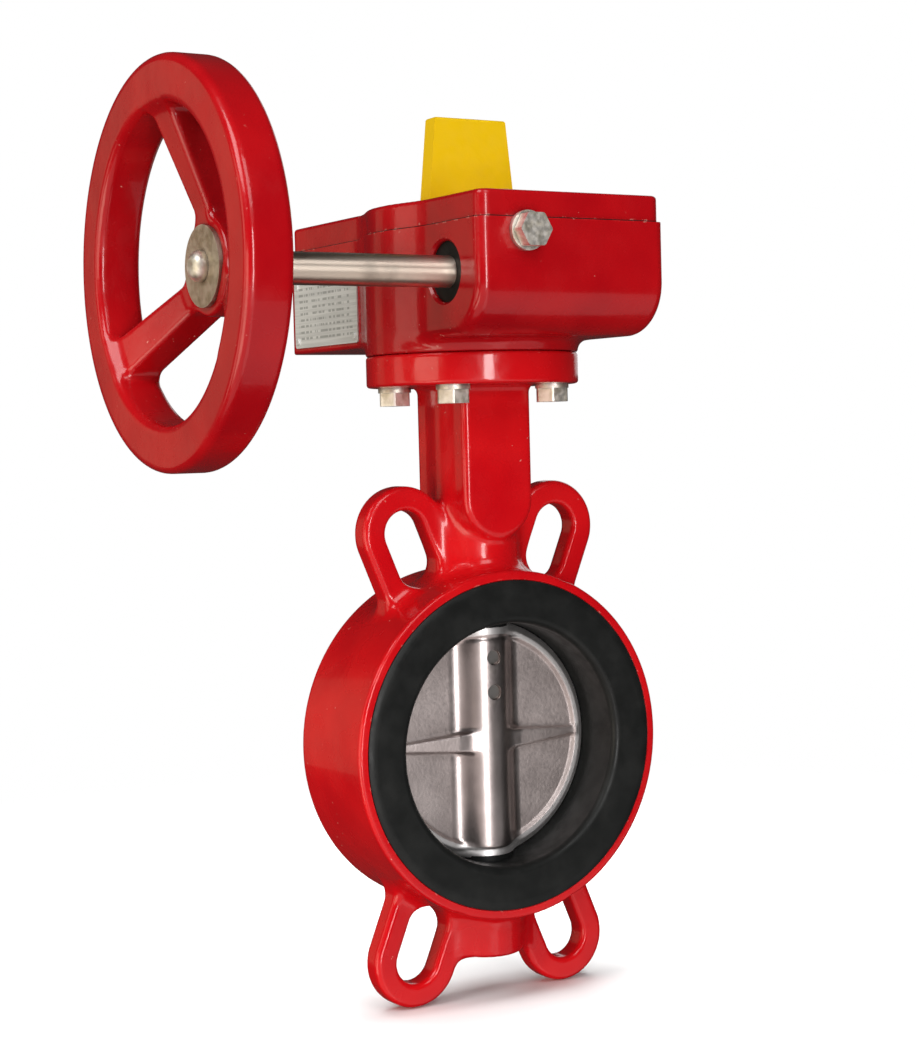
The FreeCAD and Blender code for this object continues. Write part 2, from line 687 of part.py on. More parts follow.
def tooth_gap():
    """One gap of the wheel at the -Y side, leaning by the worm's lead angle."""
    lead = math.degrees(math.atan2(PITCH, 2 * math.pi * WORM_PITCH_R))
    flank = math.tan(math.radians(PRESSURE_ANGLE + 90 / WHEEL_TEETH))
    half_pitch_width = PITCH / 4 + GEAR_SLACK / 2
    tip = WHEEL_TIP_R + SAFE
    half_root = half_pitch_width - (WHEEL_PITCH_R - WHEEL_ROOT_R) * flank
    half_tip = half_pitch_width + (tip - WHEEL_PITCH_R) * flank
    reach = WHEEL_HALF_FACE + SAFE
    gap = prism([
        Vector(-half_root, -WHEEL_ROOT_R, -reach),
        Vector(half_root, -WHEEL_ROOT_R, -reach),
        Vector(half_tip, -tip, -reach),
        Vector(-half_tip, -tip, -reach),
    ], Vector(0, 0, 2 * reach))
    gap.rotate(ORIGIN, AXES["Y"], lead)
    gap.translate(Vector(0, 0, WORM_Z))
    return gap


def worm_wheel():
    z = (WORM_Z - WHEEL_HALF_FACE, WORM_Z + WHEEL_HALF_FACE)
    sector = slice_of_disc(WHEEL_TIP_R, z, SECTOR_FROM, SECTOR_TO)
    hub = cylinder(DRIVE_HUB_R, DRIVE_HUB_Z[0], DRIVE_HUB_Z[1])
    lug = box((-LUG_X, LUG_X), LUG_Y, LUG_Z)
    web = box((-LUG_X, LUG_X), (0, LUG_Y[1]), (z[0], LUG_Z[0] + 1))
    wheel = join([sector, hub, lug, web])
    step = 360 / WHEEL_TEETH
    first = math.ceil((SECTOR_FROM - WORM_SIDE) / step) - 1
    last = math.floor((SECTOR_TO - WORM_SIDE) / step) + 1
    gaps = []
    for number in range(first, last + 1):
        gap = tooth_gap()
        gap.rotate(ORIGIN, AXES["Z"], step * number)
        gaps.append(gap)
    wheel = wheel.cut(Part.makeCompound(gaps))
    half = STEM_SQUARE / 2 + SEAT_FIT
    wheel = wheel.cut(box((-half, half), (-half, half), (DRIVE_HUB_Z[0] - SAFE, DRIVE_HUB_Z[1] + SAFE)))
    for x in (-SPINDLE_SCREW_X, SPINDLE_SCREW_X):
        wheel = wheel.cut(cylinder(M3_R, DRIVE_HUB_Z[1] - M3_HOLE_DEPTH, DRIVE_HUB_Z[1] + SAFE, "Z", (x, 0)))
    add("worm_wheel", wheel)


def shaft_bearings():
    at = (WORM_Y, WORM_Z)
    inner = SHAFT_R + RUN_FIT
    left = tube(LEFT_BUSH_R - SEAT_FIT, inner, LEFT_BUSH_X[0], LEFT_BUSH_X[1], "X", at)
    right = tube(PORT_R - SEAT_FIT, inner, BUSH_X[0], BUSH_X[1], "X", at)
    add("shaft_bushes", left, right)
    add("shaft_seal", tube(PORT_R - SEAT_FIT, inner, SEAL_X[0], SEAL_X[1], "X", at))
    plug = cylinder(PORT_R - SEAT_FIT, PLUG_X[0], PLUG_X[1], "X", at)
    socket = hexagon(PLUG_HEX, PLUG_HEX_FROM_X, PLUG_X[1] + SAFE, "X", at)
    add("shaft_end_plug", plug.cut(socket))


# ----------------------------------------------------------- housing and cover

def nose_block():
    """The worm housing: flat front and top, with a large round along its front lower edge."""
    x = CASE_LEFT_X
    centre_y = CASE_FRONT_Y + CASE_NOSE_R
    centre_z = CASE_NOSE_Z + CASE_NOSE_R
    diagonal = CASE_NOSE_R * math.sqrt(0.5)
    mid = Vector(x, centre_y - diagonal, centre_z - diagonal)
    top_back = Vector(x, 0, SEAM_Z)
    top_front = Vector(x, CASE_FRONT_Y, SEAM_Z)
    front_low = Vector(x, CASE_FRONT_Y, centre_z)
    under = Vector(x, centre_y, CASE_NOSE_Z)
    back_low = Vector(x, 0, CASE_NOSE_Z)
    outline = Part.Wire([
        Part.makeLine(top_back, top_front),
        Part.makeLine(top_front, front_low),
        Part.Arc(front_low, mid, under).toShape(),
        Part.makeLine(under, back_low),
        Part.makeLine(back_low, top_back),
    ])
    block = Part.Face(outline).extrude(Vector(CASE_RIGHT_X - CASE_LEFT_X, 0, 0))

    def end_outline(p):
        at_end = near(p.x, CASE_LEFT_X) or near(p.x, CASE_RIGHT_X)
        on_front = p.y < centre_y + 1 and p.z < SEAM_Z + 1
        on_top = near(p.z, SEAM_Z)
        return at_end and on_front and not (on_top and p.y > CASE_FRONT_Y + 1)

    return round_edges(block, CASE_ROUND, end_outline)


def rear_block(inset, z0, z1):
    x = (-REAR_HALF_X + inset, REAR_HALF_X - inset)
    block = box(x, (REAR_FROM_Y, REAR_END_Y - inset), (z0, z1))
    far = REAR_END_Y - inset
    return round_edges(block, CASE_ROUND, lambda p: near(p.y, far) and near(abs(p.x), x[1]))


def front_plate(inset, z0, z1):
    x = (CASE_LEFT_X + inset, CASE_RIGHT_X - inset)
    front = CASE_FRONT_Y + inset
    plate = box(x, (front, 0), (z0, z1))
    return round_edges(plate, CASE_ROUND, lambda p: near(p.y, front) and (near(p.x, x[0]) or near(p.x, x[1])))


def plan_shape(inset, z0, z1):
    """The plan outline of the whole case, drawn in by `inset`."""
    return join([
        front_plate(inset, z0, z1),
        cylinder(CASE_R - inset, z0, z1),
        rear_block(inset, z0, z1),
    ])


def housing_cavity():
    """Everything hollow that is open to the top of the housing."""
    rear = box(
        (-REAR_HALF_X + WALL, REAR_HALF_X - WALL),
        (REAR_FROM_Y + WALL, REAR_END_Y - WALL),
        (REAR_BASE_Z + WALL, SEAM_Z + SAFE),
    )
    worm_top = box(
        (-WORM_CAVITY_X, WORM_CAVITY_X),
        (WORM_Y - WORM_CAVITY_R, 0),
        (WORM_Z, SEAM_Z + SAFE),
    )
    worm_room = cylinder(WORM_CAVITY_R, -WORM_CAVITY_X, WORM_CAVITY_X, "X", (WORM_Y, WORM_Z))
    gear_room = cylinder(GEAR_CAVITY_R, GEAR_FLOOR_Z, SEAM_Z + SAFE)
    return join([rear, worm_top, worm_room, gear_room])


def gearbox_housing():
    base = cylinder(CASE_R, CASE_BASE_Z, SEAM_Z)
    base = round_edges(base, CASE_BASE_ROUND, lambda p: near(p.z, CASE_BASE_Z))
    stop_boss = box(
        (STOP_BOSS_ROOT_X, STOP_BOSS_X),
        (STOP_OFFSET - STOP_BOSS_HALF, STOP_OFFSET + STOP_BOSS_HALF),
        (STOP_Z - STOP_BOSS_DROP, SEAM_Z),
    )
    case = join([nose_block(), base, rear_block(0, REAR_BASE_Z, SEAM_Z), stop_boss])
    posts = [cylinder(SCREW_BOSS_R, REAR_BASE_Z + 1, SEAM_Z, "Z", at) for at in COVER_SCREWS[2:]]
    case = join([case.cut(housing_cavity())] + posts)
    at = (WORM_Y, WORM_Z)
    cuts = [
        cylinder(DRIVE_HUB_R + RUN_FIT, CASE_BASE_Z - SAFE, GEAR_FLOOR_Z + 1),
        cylinder(LEFT_BUSH_R, CASE_LEFT_X, -WORM_CAVITY_X + 1, "X", at),
        cylinder(PORT_R, CASE_LEFT_X - SAFE, PORT_STEP_X, "X", at),
        cylinder(PORT_R, WORM_CAVITY_X - 1, CASE_RIGHT_X + SAFE, "X", at),
        cylinder(STOP_R, CASE_FRONT_Y - SAFE, WORM_Y, "Y", (-STOP_OFFSET, STOP_Z)),
        cylinder(STOP_R, STOP_BORE_X, STOP_BOSS_X + SAFE, "X", (STOP_OFFSET, STOP_Z)),
        cylinder(GLAND_THREAD_R, REAR_END_Y - WALL - 1, REAR_END_Y + SAFE, "Y", (0, GLAND_Z)),
    ]
    cuts += [cylinder(M5_R, SEAM_Z - M5_HOLE_DEPTH, SEAM_Z + SAFE, "Z", spot) for spot in COVER_SCREWS]
    cuts += [
        cylinder(STOP_R, CASE_BASE_Z - SAFE, BOLT_TOP_Z + 1, "Z", spot)
        for spot in quarter_circle_points(FLANGE_PCD)
    ]
    cuts.append(cylinder(DRIVE_HUB_R + HUB_RING_DEPTH, HUB_RING_Z[0], HUB_RING_Z[1]))
    for cutter in cuts:
        case = case.cut(cutter)
    add("gearbox_housing", case)
    minor = (HUB_RING_Z[1] - HUB_RING_Z[0]) / 2 - HUB_RING_SLACK
    ring_r = DRIVE_HUB_R + RUN_FIT + minor
    middle = Vector(0, 0, sum(HUB_RING_Z) / 2)
    add("drive_hub_o_ring", Part.makeTorus(ring_r, minor, middle, AXES["Z"]))


def gearbox_cover():
    low = SEAM_Z + GASKET_T
    cover = plan_shape(COVER_INSET, low, COVER_TOP_Z)
    cover = round_edges(cover, COVER_ROUND, lambda p: near(p.z, COVER_TOP_Z))
    hollow = plan_shape(COVER_INSET + COVER_WALL, low - SAFE, COVER_TOP_Z - COVER_ROOF)
    cover = cover.cut(hollow)
    seats = [cylinder(COVER_SEAT_R, low, COVER_TOP_Z - COVER_ROOF + 1, "Z", at) for at in COVER_SCREWS]
    cover = join([cover] + seats)
    cover = cover.cut(cylinder(SPINDLE_R + RUN_FIT, low, COVER_TOP_Z + SAFE))
    head_seat = COVER_TOP_Z - M5_HEAD_H - M5_HEAD_SUNK
    for at in COVER_SCREWS:
        cover = cover.cut(cylinder(M5_R + SCREW_ROOM, low - SAFE, COVER_TOP_Z + SAFE, "Z", at))
        cover = cover.cut(cylinder(M5_HEAD_R + SCREW_ROOM, head_seat, COVER_TOP_Z + SAFE, "Z", at))
    add("gearbox_cover", cover)
    gasket = plan_shape(COVER_INSET, SEAM_Z, low).cut(plan_shape(COVER_INSET + WALL, SEAM_Z - 1, low + 1))
    rings = [cylinder(SCREW_BOSS_R, SEAM_Z, low, "Z", at) for at in COVER_SCREWS]
    gasket = join([gasket] + rings)
    for at in COVER_SCREWS:
        gasket = gasket.cut(cylinder(M5_R + SCREW_ROOM, SEAM_Z - 1, low + 1, "Z", at))
    add("cover_gasket", gasket)
    add("cover_screws", *[socket_screw(x, y, head_seat, SEAM_Z - M5_LENGTH) for x, y in COVER_SCREWS])


# ------------------------------------------------------------------ fasteners

def flange_fasteners():
    bolts = []
    washers = []
    head_top = FLANGE_Z0 - SPRING_WASHER_T
    for at in quarter_circle_points(FLANGE_PCD):
        bolts.append(hex_bolt(head_top - M8_HEAD_H, head_top, BOLT_TOP_Z, "Z", at, STOP_R - SEAT_FIT))
        washer = tube(SPRING_WASHER_R, STOP_R + WASHER_ROOM, head_top, FLANGE_Z0, "Z", at)
        split = box(
            (at[0], at[0] + SPRING_WASHER_R + 1),
            (at[1] - SPRING_WASHER_SPLIT, at[1] + SPRING_WASHER_SPLIT),
            (head_top - 1, FLANGE_Z0 + 1),
        )
        washers.append(washer.cut(split))
    add("flange_bolts", *bolts)
    add("flange_spring_washers", *washers)


def stop_fasteners():
    """The open stop enters from the front, the closed stop from the right."""
    front = (-STOP_OFFSET, STOP_Z)
    side = (STOP_OFFSET, STOP_Z)
    front_tip = -LUG_X - STOP_GAP
    side_tip = LUG_X + STOP_GAP
    shank = STOP_R - SEAT_FIT
    front_face = CASE_FRONT_Y - M8_WASHER_T
    side_face = STOP_BOSS_X + M8_WASHER_T
    open_stop = hex_bolt(front_face - M8_HEAD_H, front_face, front_tip, "Y", front, shank)
    closed_stop = hex_bolt(side_face + M8_HEAD_H, side_face, side_tip, "X", side, shank)
    add("stop_screws", open_stop, closed_stop)
    washers = [
        tube(M8_WASHER_R, STOP_R + WASHER_ROOM, front_face, CASE_FRONT_Y, "Y", front),
        tube(M8_WASHER_R, STOP_R + WASHER_ROOM, STOP_BOSS_X, side_face, "X", side),
    ]
    add("stop_washers", *washers)


# ------------------------------------------------------- indicator and switches

def indicator_spindle():
    flange_z = SPINDLE_FLANGE_Z
    flange = cylinder(SPINDLE_FLANGE_R, flange_z[0], flange_z[1])
    spindle = join([flange, cylinder(SPINDLE_R, flange_z[0], SPINDLE_TOP_Z)])
    flat_y = (SPINDLE_FLAT_Y, SPINDLE_R + 1)
    flat = box((-SPINDLE_R, SPINDLE_R), flat_y, (FLAG_BASE_Z, SPINDLE_TOP_Z + 1))
    spindle = spindle.cut(flat).cut(mirror_y(flat))
    screws = []
    for x in (-SPINDLE_SCREW_X, SPINDLE_SCREW_X):
        spindle = spindle.cut(cylinder(M3_R + M3_ROOM, flange_z[0] - 1, flange_z[1] + 1, "Z", (x, 0)))
        screws.append(cylinder(M3_R - M3_FIT, DRIVE_HUB_Z[1] - M3_DEPTH, flange_z[1] - M3_SUNK, "Z", (x, 0)))
    add("indicator_spindle", spindle)
    add("spindle_screws", *screws)


def indicator_flag():
    half = FLAG_HALF_THICK
    corners = [
        Vector(-FLAG_BASE_HALF, -half, FLAG_BASE_Z),
        Vector(FLAG_BASE_HALF, -half, FLAG_BASE_Z),
        Vector(FLAG_TOP_HALF, -half, FLAG_TOP_Z),
        Vector(-FLAG_TOP_HALF, -half, FLAG_TOP_Z),
    ]
    blade = prism(corners, Vector(0, 2 * half, 0))
    blade = round_edges(blade, FLAG_ROUND, lambda p: p.z > FLAG_BASE_Z + 1)
    collar = cylinder(FLAG_COLLAR_R, FLAG_BASE_Z, COLLAR_TOP_Z)
    collar = round_edges(collar, FLAG_COLLAR_ROUND, lambda p: near(p.z, COLLAR_TOP_Z))
    flag = join([blade, collar])
    socket = cylinder(SPINDLE_R + SEAT_FIT, FLAG_BASE_Z - 1, SPINDLE_TOP_Z + FLAG_SOCKET_ROOM)
    keep_y = SPINDLE_FLAT_Y + SEAT_FIT
    keep = box((-FLAG_COLLAR_R, FLAG_COLLAR_R), (-keep_y, keep_y), (FLAG_BASE_Z - SAFE, FLAG_TOP_Z))
    flag = flag.cut(socket.common(keep))
    flag = flag.cut(cylinder(M3_R, 0, FLAG_COLLAR_R + 1, "Y", (0, FLAG_SCREW_Z)))
    add("indicator_flag", flag)
    add("flag_screw", cylinder(M3_R - M3_FIT, FLAG_SCREW_Y[0], FLAG_SCREW_Y[1], "Y", (0, FLAG_SCREW_Z)))


def switch_cam():
    """Cam plate with one lobe for each switch."""
    cam = [cylinder(CAM_R, CAM_Z[0], CAM_Z[1])]
    closed_angle = 180 - math.degrees(math.atan2(PLUNGER_TIP_Y, SWITCH_X))
    open_angle = math.degrees(math.atan2(PLUNGER_TIP_Y, SWITCH_X)) - 90
    for angle in (closed_angle, open_angle):
        cam.append(slice_of_disc(CAM_LOBE_R, CAM_Z, angle - CAM_LOBE_HALF, angle + CAM_LOBE_HALF))
    add("switch_cam", join(cam).cut(cylinder(SPINDLE_R + SEAT_FIT, CAM_Z[0] - 1, CAM_Z[1] + 1)))


def rod_bores():
    """Where the two rods pass through the switches and the cheeks of their bracket."""
    reach = SWITCH_ROD_HALF + SAFE
    return [cylinder(SWITCH_ROD_R + RUN_FIT, -reach, reach, "X", (y, SWITCH_ROD_Z)) for y in SWITCH_ROD_Y]


def switches():
    cases = []
    names = ("closed_switch_plunger", "open_switch_plunger")
    for side, name in zip((-1, 1), names):
        x = side * SWITCH_X
        case = box((x - SWITCH_HALF_WIDTH, x + SWITCH_HALF_WIDTH), SWITCH_Y, SWITCH_Z)
        case = round_edges(case, SWITCH_ROUND, lambda p: near(p.z, SWITCH_Z[1]) or near(p.z, SWITCH_Z[0]))
        bore_end = PLUNGER_END_Y + PLUNGER_TRAVEL + PLUNGER_REST
        case = case.cut(cylinder(PLUNGER_R + RUN_FIT, SWITCH_Y[0] - 1, bore_end, "Y", (x, PLUNGER_Z)))
        for bore in rod_bores():
            case = case.cut(bore)
        cases.append(case)
        plunger = cylinder(PLUNGER_R, PLUNGER_TIP_Y, PLUNGER_END_Y, "Y", (x, PLUNGER_Z))
        add(name, round_edges(plunger, PLUNGER_ROUND, lambda p: near(p.y, PLUNGER_TIP_Y)))
    add("switch_cases", *cases)
    half = SWITCH_ROD_HALF
    rods = [cylinder(SWITCH_ROD_R, -half, half, "X", (y, SWITCH_ROD_Z)) for y in SWITCH_ROD_Y]
    add("switch_rods", *rods)


def switch_bracket():
    """Folded sheet under the switches, screwed to the floor of the rear compartment."""
    floor = REAR_BASE_Z + WALL
    shelf_top = SWITCH_Z[0]
    fold_y = BRACKET_Y[1] - BRACKET_T
    cheek_y = (BRACKET_Y[0], CHEEK_END_Y)
    cheek_z = (shelf_top - BRACKET_T, CHEEK_TOP_Z)
    bracket = join([
        box(BRACKET_X, BRACKET_Y, (shelf_top - BRACKET_T, shelf_top)),
        box(BRACKET_X, (fold_y, BRACKET_Y[1]), (floor, shelf_top)),
        box(BRACKET_X, (fold_y, BRACKET_FOOT_Y), (floor, floor + BRACKET_T)),
        box((-CHEEK_X[1], -CHEEK_X[0]), cheek_y, cheek_z),
        box(CHEEK_X, cheek_y, cheek_z),
    ])
    for bore in rod_bores():
        bracket = bracket.cut(bore)
    head_z = floor + BRACKET_T
    screws = []
    for side in (-1, 1):
        at = (side * BRACKET_SCREW_AT[0], BRACKET_SCREW_AT[1])
        bracket = bracket.cut(cylinder(BRACKET_SCREW_R + WASHER_ROOM, floor - 1, head_z + 1, "Z", at))
        shank = cylinder(BRACKET_SCREW_R, floor, head_z, "Z", at)
        head = cylinder(BRACKET_HEAD_R, head_z, head_z + BRACKET_HEAD_H, "Z", at)
        screws.append(join([shank, head]))
    add("switch_bracket", bracket)
    add("bracket_screws", *screws)


def terminal_strip():
    block = box((-TERMINAL_X, TERMINAL_X), TERMINAL_Y, TERMINAL_Z)
    top = TERMINAL_Z[1]
    foot, head = (top - depth for depth in TERMINAL_SCREW_DEPTH)
    pitch = 2 * TERMINAL_X / TERMINAL_WAYS
    screws = []
    for way in range(TERMINAL_WAYS):
        x = -TERMINAL_X + pitch * (way + 0.5)
        for y in TERMINAL_SCREW_Y:
            block = block.cut(cylinder(TERMINAL_WELL_R, top - TERMINAL_WELL_DEPTH, top + 1, "Z", (x, y)))
            screw = cylinder(TERMINAL_SCREW_R, foot, head, "Z", (x, y))
            slot_y = (y - TERMINAL_SLOT_HALF, y + TERMINAL_SLOT_HALF)
            slot = box((x - TERMINAL_WELL_R, x + TERMINAL_WELL_R), slot_y, (top - TERMINAL_SLOT_DEPTH, top))
            screws.append(screw.cut(slot))
    add("terminal_block", block)
    add("terminal_screws", *screws)


def cable_gland():
    """Stations run out from the rear wall of the case."""
    at = (0, GLAND_Z)
    face = REAR_END_Y
    hex_end = face + GLAND_HEX_END
    body_end = face + GLAND_BODY_END
    body = join([
        cylinder(GLAND_THREAD_R - SEAT_FIT, face - WALL - GLAND_INSIDE, face, "Y", at),
        hexagon(GLAND_HEX, face, hex_end, "Y", at),
        cylinder(GLAND_THREAD_R, hex_end, body_end, "Y", at),
    ])
    body = body.cut(cylinder(GLAND_BORE_R, face - WALL - SAFE, body_end + SAFE, "Y", at))
    add("gland_body", body)
    add("gland_seal", tube(GLAND_BORE_R - SEAT_FIT, CABLE_R, face + GLAND_SEAL_START, body_end, "Y", at))
    start, end = (face + station for station in GLAND_NUT_Y)
    nut = cylinder(GLAND_NUT_R, start, end, "Y", at)
    nut = nut.common(hexagon(GLAND_NUT_HEX, start, end, "Y", at))
    nut = nut.cut(cylinder(GLAND_THREAD_R + SEAT_FIT, start - 1, face + GLAND_NUT_STEP, "Y", at))
    nut = nut.cut(cylinder(GLAND_BORE_R, body_end - 1, end + 1, "Y", at))
    add("gland_nut", nut)


def label():
    x = (-REAR_HALF_X - LABEL_T, -REAR_HALF_X)
    plate = box(x, LABEL_Y, LABEL_Z)

    def corner(p):
        at_side = near(p.y, LABEL_Y[0]) or near(p.y, LABEL_Y[1])
        at_end = near(p.z, LABEL_Z[0]) or near(p.z, LABEL_Z[1])
        return at_side and at_end

    add("label_plate", round_edges(plate, LABEL_ROUND, corner))
    rivet_x = x[0] - RIVET_H
    rivets = []
    for y in (LABEL_Y[0] + RIVET_INSET, LABEL_Y[1] - RIVET_INSET):
        for z in (LABEL_Z[0] + RIVET_INSET, LABEL_Z[1] - RIVET_INSET):
            head = cylinder(RIVET_R, rivet_x, x[0], "X", (y, z))
            rivets.append(round_edges(head, RIVET_ROUND, lambda p: near(p.x, rivet_x)))
    add("label_rivets", *rivets)


# ------------------------------------------------------------------ handwheel

def circles(shape):
    return [edge for edge in shape.Edges if edge.Curve.TypeId == "Part::GeomCircle"]


def wheel_rim():
    """Rounded rectangular section turned about the shaft axis."""
    section = Part.Face(polygon([
        Vector(RIM_X[0], WORM_Y, WORM_Z + WHEEL_IN_R),
        Vector(RIM_X[1], WORM_Y, WORM_Z + WHEEL_IN_R),
        Vector(RIM_X[1], WORM_Y, WORM_Z + WHEEL_OUT_R),
        Vector(RIM_X[0], WORM_Y, WORM_Z + WHEEL_OUT_R),
    ]))
    rim = section.revolve(Vector(0, WORM_Y, WORM_Z), AXES["X"], 360)
    return rim.makeFillet(RIM_ROUND, circles(rim))


def spoke(angle):
    """A dished arm from the hub out to the rim, drawn along +Y and turned about the shaft."""
    wires = []
    for radius, (front, back), half in zip(SPOKE_RADII, (SPOKE_HUB_X, SPOKE_RIM_X), SPOKE_HALF_WIDTHS):
        narrow = half - SPOKE_DRAFT
        corners = [(front, -half), (back, -narrow), (back, narrow), (front, half)]
        wires.append(polygon([Vector(x, radius, z) for x, z in corners]))
    arm = Part.makeLoft(wires, True, True)
    arm = arm.makeFillet(SPOKE_ROUND, arm.Edges)
    arm.rotate(ORIGIN, AXES["X"], angle)
    arm.translate(Vector(0, WORM_Y, WORM_Z))
    return arm


def handwheel():
    at = (WORM_Y, WORM_Z)
    hub = cylinder(WHEEL_HUB_R, WHEEL_HUB_X[0], WHEEL_HUB_X[1], "X", at)
    hub = hub.makeFillet(WHEEL_HUB_ROUND, circles(hub))
    wheel = join([wheel_rim(), hub] + [spoke(angle) for angle in SPOKE_ANGLES])
    wheel = wheel.cut(cylinder(SHAFT_R + SEAT_FIT, WHEEL_HUB_X[0] - SAFE, WHEEL_HUB_X[1] + SAFE, "X", at))
    wheel = wheel.cut(key_block(SEAT_FIT))
    add("handwheel", wheel)
    add("wheel_key", key_block(0))
    washer_x = (WHEEL_HUB_X[0] - WHEEL_WASHER_T, WHEEL_HUB_X[0])
    add("wheel_washer", tube(WHEEL_WASHER_R, M6_R + M6_ROOM, washer_x[0], washer_x[1], "X", at))
    head_x = washer_x[0] - DOME_HEAD_H
    head = cylinder(DOME_HEAD_R, head_x, washer_x[0], "X", at)
    head = round_edges(head, DOME_ROUND, lambda p: near(p.x, head_x))
    shank = cylinder(M6_R - SEAT_FIT, washer_x[0], washer_x[0] + M6_LENGTH, "X", at)
    add("wheel_screw", join([head, shank]))


# --------------------------------------------------------------------- export

def main():
    valve_body()
    seat_liner()
    stem_bearings()
    disc()
    stem()
    worm_shaft()
    worm_wheel()
    shaft_bearings()
    gearbox_housing()
    gearbox_cover()
    flange_fasteners()
    stop_fasteners()
    indicator_spindle()
    indicator_flag()
    switch_cam()
    switches()
    switch_bracket()
    terminal_strip()
    cable_gland()
    label()
    handwheel()
    os.makedirs("parts", exist_ok=True)
    for name, shape in nodes.items():
        shape.exportStep("parts/" + name + ".step")
        print(name, len(shape.Solids), round(shape.Volume, 1), shape.isValid())


main()
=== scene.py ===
import itertools
import json
import math

import bpy
import numpy as np
from mathutils import Matrix, Vector


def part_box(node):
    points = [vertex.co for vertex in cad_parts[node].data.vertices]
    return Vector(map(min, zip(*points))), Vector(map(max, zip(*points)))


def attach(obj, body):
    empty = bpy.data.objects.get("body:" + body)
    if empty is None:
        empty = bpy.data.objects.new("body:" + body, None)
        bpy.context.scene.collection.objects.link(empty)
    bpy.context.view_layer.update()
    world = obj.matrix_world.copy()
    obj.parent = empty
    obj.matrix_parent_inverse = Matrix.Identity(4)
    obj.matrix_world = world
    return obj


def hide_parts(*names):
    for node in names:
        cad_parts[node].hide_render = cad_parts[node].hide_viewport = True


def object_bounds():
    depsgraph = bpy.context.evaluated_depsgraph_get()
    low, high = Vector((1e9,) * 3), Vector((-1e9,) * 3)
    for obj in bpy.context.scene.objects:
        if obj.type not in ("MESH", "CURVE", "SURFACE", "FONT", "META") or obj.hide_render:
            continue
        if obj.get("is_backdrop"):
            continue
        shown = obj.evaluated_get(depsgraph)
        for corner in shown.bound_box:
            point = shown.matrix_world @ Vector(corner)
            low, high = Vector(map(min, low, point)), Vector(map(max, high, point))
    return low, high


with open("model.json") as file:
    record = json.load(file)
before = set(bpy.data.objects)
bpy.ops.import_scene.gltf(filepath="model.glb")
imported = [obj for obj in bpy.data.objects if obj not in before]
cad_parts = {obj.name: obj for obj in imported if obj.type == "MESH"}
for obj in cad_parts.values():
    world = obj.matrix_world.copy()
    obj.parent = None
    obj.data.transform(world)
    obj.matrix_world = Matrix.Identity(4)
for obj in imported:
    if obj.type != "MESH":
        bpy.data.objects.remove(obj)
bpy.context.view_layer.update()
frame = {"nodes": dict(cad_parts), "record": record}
frame_slot = {part["node"]: part["material_slot"] for part in frame["record"]["subparts"]}

# Looks of a wafer butterfly valve with a worm-gear operator.
# Blender works in metres. The castings are drawn in millimetres, in the frame's
# own axes, and scaled once when their mesh is made: +Z up the stem, Y the pipe axis.

MM = 0.001
STEP = 0.85      # grid spacing of the cast surfaces, mm
FINE_STEP = 0.6  # the same on the disc


# ------------------------------------------------------------ distance fields
# A field takes points as three arrays in millimetres and gives the signed
# distance to a solid: negative inside. Two fields blend with a cast fillet.

def blend(a, b, fillet):
    near = np.maximum(fillet - np.abs(a - b), 0) / fillet
    return np.minimum(a, b) - near * near * fillet / 4


def carve(a, b, edge):
    """a with b taken away, the new edge rounded."""
    return -blend(-a, b, edge)


def thick(flat, along, half, edge):
    """A flat outline's distance given a thickness, with rounded edges."""
    side = flat + edge
    end = np.abs(along) - half + edge
    outside = np.hypot(np.maximum(side, 0), np.maximum(end, 0))
    return np.minimum(np.maximum(side, end), 0) + outside - edge


def rectangle(u, v, half_u, half_v, corner=0.0):
    du = np.abs(u) - half_u + corner
    dv = np.abs(v) - half_v + corner
    outside = np.hypot(np.maximum(du, 0), np.maximum(dv, 0))
    return np.minimum(np.maximum(du, dv), 0) + outside - corner


def segment(u, v, start, end):
    """Distance in a plane to the stretch of the v axis between two stations."""
    return np.hypot(u, v - np.clip(v, start, end))


def block(x, y, z, low, high, corner):
    middle = [(a + b) / 2 for a, b in zip(low, high)]
    half = [(b - a) / 2 for a, b in zip(low, high)]
    plan = rectangle(x - middle[0], y - middle[1], half[0], half[1], corner)
    return thick(plan, z - middle[2], half[2], corner)


# ------------------------------------------------------------- field to mesh

TOUCH = 1e-6                            # a grid value just inside the surface, mm
CUT_STOCK = 1.5                         # metal left on a seam face for its cut, mm
CORNERS = list(itertools.product((0, 1), repeat=3))
CELL_EDGES = [(a, b) for a in CORNERS for b in CORNERS if sum(b) - sum(a) == 1 and
              all(q >= p for p, q in zip(a, b))]


def cell_values(values, corner):
    last = [n - 1 + c for n, c in zip(values.shape, corner)]
    return values[corner[0]:last[0], corner[1]:last[1], corner[2]:last[2]]


def surface_points(values, active):
    """One point in each active cell: the mean of where its edges cross zero."""
    total = np.zeros((int(active.sum()), 3))
    count = np.zeros((len(total), 1))
    for a, b in CELL_EDGES:
        va = cell_values(values, a)[active]
        vb = cell_values(values, b)[active]
        crossed = (va < 0) != (vb < 0)
        share = np.where(crossed, va / np.where(crossed, va - vb, 1), 0)[:, None]
        spot = np.array(a) + share * (np.array(b) - np.array(a))
        total += spot * crossed[:, None]
        count += crossed[:, None]
    return np.argwhere(active) + total / count


def surface_quads(values, index):
    quads = []
    for axis in range(3):
        low = np.moveaxis(values, axis, 0)[:-1, 1:-1, 1:-1]
        high = np.moveaxis(values, axis, 0)[1:, 1:-1, 1:-1]
        cells = np.moveaxis(index, axis, 0)
        around = [cells[:, :-1, :-1], cells[:, 1:, :-1], cells[:, 1:, 1:], cells[:, :-1, 1:]]
        leaving, entering = (low < 0) & (high >= 0), (low >= 0) & (high < 0)
        for change, order in ((leaving, (0, 1, 2, 3)), (entering, (3, 2, 1, 0))):
            turned = order if axis != 1 else order[::-1]
            quads.append(np.stack([around[i][change] for i in turned], axis=1))
    return np.concatenate(quads)


